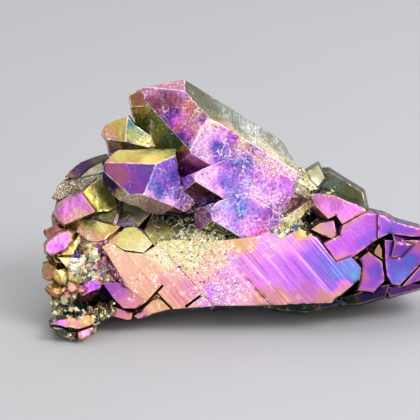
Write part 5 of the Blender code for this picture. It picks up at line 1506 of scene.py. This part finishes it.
@dataclass(frozen=True)
class FilmFinish:
    """The metal film over quartz, with its own clouds, lines, frost and worn edges, a painted highlight along
    those edges and painted shade in its crevices and pits.
    """

    name: str
    metallic: float = 0.82
    roughness: float = 0.32
    rough_play: float = 0.25  # how far the flecks change the roughness
    cloud_size: float = 2.2  # millimetres
    cloud: float = 0.1  # how far the clouds shift the film
    fleck: float = 0.06
    plain_fleck: float = 0.7  # how much of the flecks shows without frost,
    frost_fleck: float = 2.0  # and what full frost adds
    mottle: float = 0.6  # how far the flecks change the light
    line_spacing: float = 0.3
    line_shift: float = 0.05
    line_light: float = 0.3
    line_pale: float = 0.22
    vein: float = 0.0  # how bright the web of fine frost is
    dust: float = 0.0  # and the fine dust of frost between its veins
    rim_width: float = 0.5
    rim: float = 0.5  # how far the film turns to gold at the edges
    grain: float = 0.16
    frost_cover: float = 0.9
    frost_metallic: float = 0.45
    frost_roughness: float = 0.4
    frost_colour: Screen = (252, 240, 228)
    vein_colour: Screen = (250, 214, 244)
    # the painted highlight along worn edges: its colour, strength and width
    edge_glint_colour: Screen = (255, 232, 190)
    edge: float = 0.5
    edge_width: float = 0.14
    dull: float = 0.8  # how much less metallic the palest film is
    pit: float = 0.5  # how much light a pit keeps under its painted shade
    crevice_shade: float = 0.3  # and the bottom of a crevice under its painted shade,
    crevice_shade_width: float = 0.35  # which is painted darker over this width
    bump: float = 0.1  # millimetres
    bump_strength: float = 0.7
    line_height: float = 1.2
    fleck_height: float = 0.5
    frost_height: float = 0.8
    coat: float = 0.2
    coat_roughness: float = 0.12
    specular: float = 0.3

    def read(self, w: Wiring, effects: Effects) -> Signals:
        """Read the mesh's values and place the shared effects.

        Args:
            w: The material's wiring.
            effects: The shared node groups.

        Returns:
            What the other methods mix.
        """
        film, growth, wear = (w.attribute(name) for name in ("film", "growth", "wear"))
        place = w.scaled(w.place(), 1 / MM)
        clouds = w.group(effects.clouds, Place=place, Size=self.cloud_size)
        lines = w.group(effects.lines, Growth=growth["vector"], Spacing=self.line_spacing)
        sugar = w.group(effects.sugar, Place=place, Frost=film["alpha"], Grain=self.grain)
        # the painted highlight along worn edges, and the gold rims
        edge_glint, rim = (
            w.group(effects.edge_glint, Distance=wear["red"], Width=width, Place=place)["Mask"]
            for width in (self.edge_width, self.rim_width)
        )
        share = w.plus(w.times(film["alpha"], self.frost_fleck), self.plain_fleck, clamp=True)
        fleck = w.times(clouds["Fleck"], share)
        return Signals(w, film, wear, clouds, fleck, lines, sugar, edge_glint, rim)

    def stage(self, s: Signals) -> Socket:
        """The film's stage: shifted by clouds, flecks and lines, and gold at the edges.

        Args:
            s: What the material reads.

        Returns:
            The stage.
        """
        w = s.w
        stage = s.film["red"]
        for shift, strength in (
            (s.clouds["Cloud"], self.cloud),
            (s.fleck, self.fleck),
            (s.lines["Bright"], -self.line_shift),
            (s.lines["Dark"], self.line_shift),
        ):
            stage = w.plus(stage, w.times(shift, strength))
        return w.blend(w.times(s.rim, self.rim), stage, Hue.GOLD.stage)

    def light(self, s: Signals) -> Socket:
        """How light the film is: its painted light and shade, mottled, lined, and with painted shade in pits
        and crevices.

        Args:
            s: What the material reads.

        Returns:
            The light.
        """
        w = s.w
        light = s.film["green"]
        for shift, strength in (
            (s.fleck, self.mottle),
            (s.lines["Bright"], self.line_light),
            (s.lines["Dark"], -self.line_light),
        ):
            light = w.times(light, w.plus(1.0, w.times(shift, strength)))
        # painted shade in pits and at the bottom of creases
        light = w.times(light, w.blend(s.wear["blue"], 1.0, self.pit))
        clear_of_crease = w.ramp(s.wear["green"], 0.0, self.crevice_shade_width)
        return w.times(light, w.blend(clear_of_crease, self.crevice_shade, 1.0))

    def frosted(self, s: Signals, colour: Socket) -> Socket:
        """Lay dust, veins, grains and a painted highlight along worn edges over the film.

        Args:
            s: What the material reads.
            colour: The film's colour.

        Returns:
            The colour of the surface.
        """
        for mask, strength, tint in (
            (s.sugar["Dust"], self.dust, self.vein_colour),
            (s.sugar["Vein"], self.vein, self.vein_colour),
            (s.sugar["Mask"], self.frost_cover, self.frost_colour),
            (s.edge_glint, self.edge, self.edge_glint_colour),
        ):
            if strength:
                colour = s.w.mix(s.w.times(mask, strength), colour, linear(tint))
        return colour

    def normal(self, s: Signals) -> Socket:
        """The finest relief: growth lines, flecks and frost.

        Args:
            s: What the material reads.

        Returns:
            The normal.
        """
        w = s.w
        lines = w.times(s.lines["Height"], self.line_height)
        height = w.plus(lines, w.times(s.clouds["Fleck"], self.fleck_height))
        bump = w.tree.nodes.new("ShaderNodeBump")
        bump.inputs["Strength"].default_value = self.bump_strength
        bump.inputs["Distance"].default_value = self.bump * MM
        w.link(w.plus(height, w.times(s.sugar["Mask"], self.frost_height)), bump.inputs["Height"])
        return bump.outputs["Normal"]

    def build(self, effects: Effects) -> bpy.types.Material:
        """Wire the material.

        Args:
            effects: The shared node groups.

        Returns:
            The material.
        """
        made, w, shader = fresh(self.name)
        s = self.read(w, effects)
        light = self.light(s)
        pale = w.plus(s.film["blue"], w.times(s.lines["Bright"], self.line_pale))
        film = w.group(effects.film, Stage=self.stage(s), Light=light, Pale=pale)
        w.link(self.frosted(s, film["Color"]), shader["Base Color"])
        metal = w.times(w.minus(1.0, w.times(pale, self.dull), clamp=True), self.metallic)
        w.link(w.blend(s.sugar["Mask"], metal, self.frost_metallic), shader["Metallic"])
        rough = w.plus(w.times(s.clouds["Fleck"], self.rough_play), self.roughness)
        w.link(w.blend(s.sugar["Mask"], rough, self.frost_roughness), shader["Roughness"])
        # the coat follows the painted light, so painted shade is less glossy
        w.link(w.times(light, self.coat, clamp=True), shader["Coat Weight"])
        w.link(self.normal(s), shader["Normal"])
        shader["Coat Roughness"].default_value = self.coat_roughness
        shader["Specular IOR Level"].default_value = self.specular
        return made


@dataclass(frozen=True)
class PlainFinish:
    """A matt, faintly mottled surface for the floor."""

    name: str
    colour: Screen
    roughness: float = 0.6
    darkest: float = 0.96
    mottle: float = 9.0  # how fine the mottling is

    def build(self) -> bpy.types.Material:
        """Wire the material.

        Returns:
            The material.
        """
        made, w, shader = fresh(self.name)
        tone = w.noise(w.place(), self.mottle, detail=3.0)
        darker = tuple(int(c * self.darkest) for c in self.colour)
        w.link(w.mix(tone, linear(self.colour), linear(darker)), shader["Base Color"])
        shader["Roughness"].default_value = self.roughness
        return made


def store(mesh: bpy.types.Mesh, name: str, values: np.ndarray) -> None:
    """Keep values on a mesh for its material.

    Args:
        mesh: The mesh.
        name: The attribute's name.
        values: A row of three or four for each point, or else for each corner.
    """
    domain = "POINT" if len(values) == len(mesh.vertices) else "CORNER"
    kind, place = ("FLOAT_COLOR", "color") if values.shape[1] == 4 else ("FLOAT_VECTOR", "vector")
    layer = mesh.attributes.new(name, kind, domain)
    layer.data.foreach_set(place, values.astype(np.float32).ravel())


def as_piece(name: str, built: Built, material: bpy.types.Material) -> bpy.types.Object:
    """A new object that rides on the body and stands for the CAD node.

    Args:
        name: The piece's name.
        built: Its points in millimetres, its triangles and the values for its material.
        material: Its finish.

    Returns:
        The object.
    """
    points, corners, values = built
    mesh = bpy.data.meshes.new(name)
    mesh.from_pydata((points * MM).tolist(), [], corners.tolist())
    mesh.materials.append(material)
    piece = bpy.data.objects.new(name, mesh)
    bpy.context.collection.objects.link(piece)
    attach(piece, "root")
    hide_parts(NODE)
    for title, rows in values.items():
        store(mesh, title, rows)
    log.info("%s: %d triangles", name, len(corners))
    return piece


@dataclass
class Ground:
    """The carved shell, and what the pieces on it are made from."""

    shell: Shell
    flat: np.ndarray  # its points before carving
    survey: Survey
    relief: Relief
    paint: np.ndarray  # the finish at every corner
    wear: np.ndarray  # ridge, crease and pit of every point


@dataclass
class Skin:
    """The coated skin of one zone."""

    zone: Zone
    finish: FilmFinish
    crisp: float = math.radians(22.0)  # edges with a greater bend are shaded sharp

    def mesh(self, ground: Ground) -> Built:
        """Pick the zone's part of the shell.

        Args:
            ground: The carved shell.

        Returns:
            Points, corners and the values for the material.
        """
        shell = ground.shell
        mine = ground.survey.zone[shell.facet] == self.zone.value
        corners = shell.corners[mine]
        used, local = np.unique(corners, return_inverse=True)
        face = np.repeat(shell.facet[mine], 3)
        spots = ground.flat[corners].reshape(-1, 3)
        along, across = ground.relief.growth(spots, face, TEXTURES[self.zone])
        paint = ground.paint[mine].reshape(-1, len(Part))
        values = {
            "film": paint[:, : Part.LINES],
            "growth": np.stack([along, across, paint[:, Part.LINES]], axis=1),
            "wear": ground.wear[used],
        }
        return shell.points[used], local.reshape(-1, 3), values

    def dress(self, built: Built, effects: Effects) -> bpy.types.Object:
        """Make the object and its material.

        Args:
            built: What `mesh` returned.
            effects: The shared node groups.

        Returns:
            The finished piece.
        """
        piece = as_piece(f"{self.zone.name.lower()}_skin", built, self.finish.build(effects))
        piece.data.shade_smooth()
        piece.data.set_sharp_from_angle(angle=self.crisp)
        return piece


@dataclass
class Druse:
    """Sugary grains: tiny quartz points sunk in the skin where it is frosted."""

    name: str
    zones: tuple[Zone, ...]
    count: int
    sizes: Span
    finish: FilmFinish
    seed: int
    needs: float = 0.35  # frost below this has no grains,
    crowding: float = 1.5  # and how fast they crowd above it
    sunk: float = 0.25
    tilt: float = 0.45
    shape: tuple[Span, Span, Span] = ((0.35, 0.6), (0.35, 0.6), (0.5, 1.0))  # both widths and the height
    white: float = 0.4  # the share of grains that are white
    straw: float = 0.4  # the share of the white grains that are straw yellow
    favour_small: float = 2.5
    play: float = 0.06  # how far the film of one grain differs from the next
    light: Span = (0.4, 1.5)
    white_light: Span = (0.9, 1.25)
    white_pale: Span = (0.2, 0.8)

    def mesh(self, ground: Ground) -> Built:
        """Scatter the grains.

        Args:
            ground: The carved shell.

        Returns:
            Points, corners and the values for the material.
        """
        shell, paint = ground.shell, ground.paint
        dice = np.random.default_rng(self.seed)
        frost = paint[..., Part.FROST].mean(axis=1)
        mine = np.isin(ground.survey.zone[shell.facet], [zone.value for zone in self.zones])
        cross = shell.crosses()
        crowd = np.clip(frost - self.needs, 0, 1) ** self.crowding
        weight = np.linalg.norm(cross, axis=1) * mine * crowd
        chosen = dice.choice(len(weight), self.count, p=weight / weight.sum())
        shares = dice.dirichlet((1, 1, 1), self.count)
        spots = (shell.points[shell.corners[chosen]] * shares[..., None]).sum(axis=1)
        low, high = self.sizes
        size = low + (high - low) * dice.random(self.count) ** self.favour_small
        up = unit(unit(cross[chosen]) + self.tilt * dice.normal(size=(self.count, 3)))
        side = unit(np.cross(up, dice.normal(size=(self.count, 3))))
        other = np.cross(up, side)
        gem, faces = self.gem()
        stretch = np.stack([dice.uniform(*span, self.count) for span in self.shape], axis=1)
        local = gem[None] * (stretch * size[:, None])[:, None]
        points = spots[:, None] + local[..., :1] * side[:, None] + local[..., 1:2] * other[:, None]
        points += (local[..., 2:] - self.sunk * size[:, None, None]) * up[:, None]
        points = np.clip(points, *ground.relief.floor).reshape(-1, 3)
        corners = (faces[None] + (np.arange(self.count) * len(gem))[:, None, None]).reshape(-1, 3)
        # each grain takes its face's finish, painted light and shade too
        film = paint[chosen][:, 0, : Part.LINES].copy()
        stage = film[:, Part.STAGE] + self.play * dice.normal(size=self.count)
        film[:, Part.STAGE] = np.clip(stage, 0, 1)
        film[:, Part.LIGHT] *= dice.uniform(*self.light, self.count)
        white = dice.random(self.count) < self.white
        straw = white & (dice.random(self.count) < self.straw)
        film[straw, Part.STAGE] = Hue.STRAW.stage
        film[white, Part.LIGHT] = dice.uniform(*self.white_light, white.sum())
        film[white, Part.PALE] = dice.uniform(*self.white_pale, white.sum())
        film[:, Part.FROST] = 0.0
        reach = Ridges.reach
        values = {
            "film": np.repeat(film, len(gem), axis=0),
            "growth": np.zeros((len(points), 3)),
            "wear": np.tile((reach, reach, 0.0), (len(points), 1)),
        }
        return points, corners, values

    @staticmethod
    def gem() -> tuple[np.ndarray, np.ndarray]:
        """A six-sided crystal with a point at both ends, one unit from its middle to its edges.

        Returns:
            Its points and triangles.
        """
        turn = np.radians(60.0 * np.arange(6))
        ring = np.stack([np.cos(turn), np.sin(turn), np.zeros(6)], axis=1)
        gem = np.concatenate([ring, [[0, 0, 1.0], [0, 0, -0.8]]])
        after = (np.arange(6) + 1) % 6
        top = np.stack([np.arange(6), after, np.full(6, 6)], axis=1)
        bottom = np.stack([after, np.arange(6), np.full(6, 7)], axis=1)
        return gem, np.concatenate([top, bottom])

    def dress(self, built: Built, effects: Effects) -> bpy.types.Object:
        """Make the object and its material."""
        return as_piece(self.name, built, self.finish.build(effects))


SKINS = (
    Skin(
        Zone.CROWN,
        FilmFinish(
            "crown_film", cloud_size=1.8, cloud=0.22, fleck=0.2, mottle=2.2, vein=1.0, dust=0.3, rim=0.1,
            rim_width=0.3, edge=0.9, grain=0.3, crevice_shade=0.8, edge_glint_colour=(255, 236, 236),
            vein_colour=(255, 238, 252), frost_colour=(255, 240, 250),
        ),
    ),
    Skin(Zone.HAZE, FilmFinish("haze_film", cloud=0.08, vein=0.2, dust=0.15)),
    Skin(
        Zone.PLATE,
        FilmFinish(
            "plate_film", cloud=0.06, fleck=0.06, mottle=0.32, vein=1.0, dust=0.12, rim=0.15, edge=0.3,
            grain=0.28, crevice_shade=0.85, vein_colour=(255, 248, 222), frost_colour=(255, 249, 224),
        ),
    ),
    Skin(Zone.EAST, FilmFinish("east_film", cloud=0.07, fleck=0.03, mottle=0.2, rim=0.5)),
    Skin(Zone.LOBE, FilmFinish("lobe_film", cloud=0.16, fleck=0.14, mottle=1.4, grain=0.26)),
    Skin(Zone.REAR, FilmFinish("rear_film", cloud=0.14, fleck=0.1)),
)
GRAIN = FilmFinish("grain_film", metallic=0.75, roughness=0.22, cloud=0.04, rim=0.0, edge=0.0, coat=0.4)
DRUSES = (
    Druse("ledge_druse", (Zone.PLATE,), 2200, (0.1, 0.42), GRAIN, seed=5, needs=0.4, white=0.75),
    Druse("crown_druse", (Zone.CROWN, Zone.HAZE), 3600, (0.08, 0.26), GRAIN, seed=6, needs=0.4, white=0.6),
    Druse(
        "crown_dots", (Zone.CROWN,), 420, (0.1, 0.2), GRAIN, seed=9, needs=-0.1, white=1.0, favour_small=1.0
    ),
    Druse(
        "lobe_druse", (Zone.LOBE, Zone.EAST), 1500, (0.25, 1.0), GRAIN, seed=7, needs=0.3, straw=1.0,
        play=0.3, favour_small=1.6,
    ),
    Druse("rear_druse", (Zone.REAR,), 14000, (0.2, 0.7), GRAIN, seed=8, needs=0.25, white=0.15, play=0.1),
)


@dataclass
class Cluster:
    """The whole cluster: surveys the CAD solid, refines and carves it, and grows druse on it."""

    node: bpy.types.Object
    showing: Showing = Showing()
    fine: float = 0.27  # longest edge on the showing side
    coarse: float = 0.6  # and elsewhere
    turned: float = 0.1  # the cosine past which a face is no longer on the showing side,
    behind: float = 9.5  # and the millimetres away

    def ground(self) -> Ground:
        """Survey the solid, split its faces finely and carve them.

        Returns:
            The carved shell with its finish and its wear.
        """
        coarse = Shell.of(self.node)
        survey = Survey(coarse, self.showing, SPOTS)
        facing = survey.normal @ self.showing.axes()[2] < self.turned
        showing = facing & (self.showing.seen(survey.centre)[:, 2] < self.behind)
        shell = coarse.split(np.where(showing, self.fine, self.coarse))
        log.info("split into %d triangles", len(shell.corners))
        ridge, crease = Ridges(coarse).distances(shell.points)
        relief = Relief(survey, ridge, crease, (coarse.points.min(axis=0), coarse.points.max(axis=0)))
        paint = survey.paint(shell)
        flat = shell.points.copy()
        wear = np.stack([ridge, crease, relief.carve(shell, paint)], axis=1)
        return Ground(shell, flat, survey, relief, paint, wear)

    def build(self, effects: Effects) -> None:
        """Make every piece of the cluster.

        Args:
            effects: The shared node groups.
        """
        ground = self.ground()
        for part in (*SKINS, *DRUSES):
            part.dress(part.mesh(ground), effects)


@dataclass
class Studio:
    """The floor, the soft lights and the camera."""

    showing: Showing = Showing()
    floor_colour: Screen = (196, 196, 198)
    floor_half: float = 3.0  # metres
    floor_gap: float = 0.05  # millimetres below the base
    aim: float = 12.0  # how high the lights are aimed, in millimetres
    sky: tuple[float, float, float, float] = (0.86, 0.88, 0.92, 1.0)
    sky_strength: float = 0.36
    lens: float = 250.0
    sensor: float = 36.0
    nearest: float = 0.02  # metres

    def build(self) -> None:
        """Set everything up."""
        self.floor()
        self.light("key", (240.0, 250.0, -240.0), 200.0, 1.0)
        self.light("front", (0.0, 30.0, -430.0), 700.0, 1.4)
        self.light("top", (-40.0, 330.0, -40.0), 350.0, 0.45)
        self.light("back", (150.0, 300.0, 200.0), 260.0, 0.2)
        world = bpy.data.worlds.new("room")
        world.use_nodes = True
        sky = world.node_tree.nodes["Background"]
        sky.inputs["Color"].default_value = self.sky
        sky.inputs["Strength"].default_value = self.sky_strength
        bpy.context.scene.world = world
        bpy.context.scene.view_settings.view_transform = "Standard"
        self.camera()

    def floor(self) -> None:
        """A wide plain floor."""
        mesh = bpy.data.meshes.new("floor")
        half = self.floor_half
        corners = [(-half, -half, 0), (half, -half, 0), (half, half, 0), (-half, half, 0)]
        mesh.from_pydata(corners, [], [(0, 1, 2, 3)])
        mesh.materials.append(PlainFinish("floor_paint", self.floor_colour).build())
        floor = bpy.data.objects.new("floor", mesh)
        floor.location.z = -self.floor_gap * MM
        bpy.context.collection.objects.link(floor)

    def light(self, name: str, spot: tuple[float, float, float], size: float, power: float) -> None:
        """A square soft light turned to the cluster.

        Args:
            name: Its name.
            spot: Where it stands: millimetres right, up and away.
            size: Its side in millimetres.
            power: Watts.
        """
        lamp = bpy.data.lights.new(name, "AREA")
        lamp.size = size * MM
        lamp.energy = power
        made = bpy.data.objects.new(name, lamp)
        made.location = Vector(self.showing.place(spot)) * MM
        way = Vector((0, 0, self.aim * MM)) - made.location
        made.rotation_euler = way.to_track_quat("-Z", "Y").to_euler()
        bpy.context.collection.objects.link(made)

    def camera(self) -> None:
        """A long lens square to the showing side."""
        lens = bpy.data.cameras.new("camera")
        lens.lens = self.lens
        lens.sensor_width = self.sensor
        lens.clip_start = self.nearest
        made = bpy.data.objects.new("camera", lens)
        right, up, away = self.showing.axes()
        turn = Matrix((right, up, -away)).transposed()
        spot = Vector(self.showing.place(self.showing.eye)) * MM
        made.matrix_world = Matrix.Translation(spot) @ turn.to_4x4()
        bpy.context.collection.objects.link(made)
        bpy.context.scene.camera = made


def main() -> None:
    """Dress the cluster and set up the studio."""
    logging.basicConfig(level=logging.INFO, format="%(name)s: %(message)s")
    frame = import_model()
    Cluster(frame["nodes"][NODE]).build(Effects())
    Studio().build()


if __name__ == "__main__":
    main()
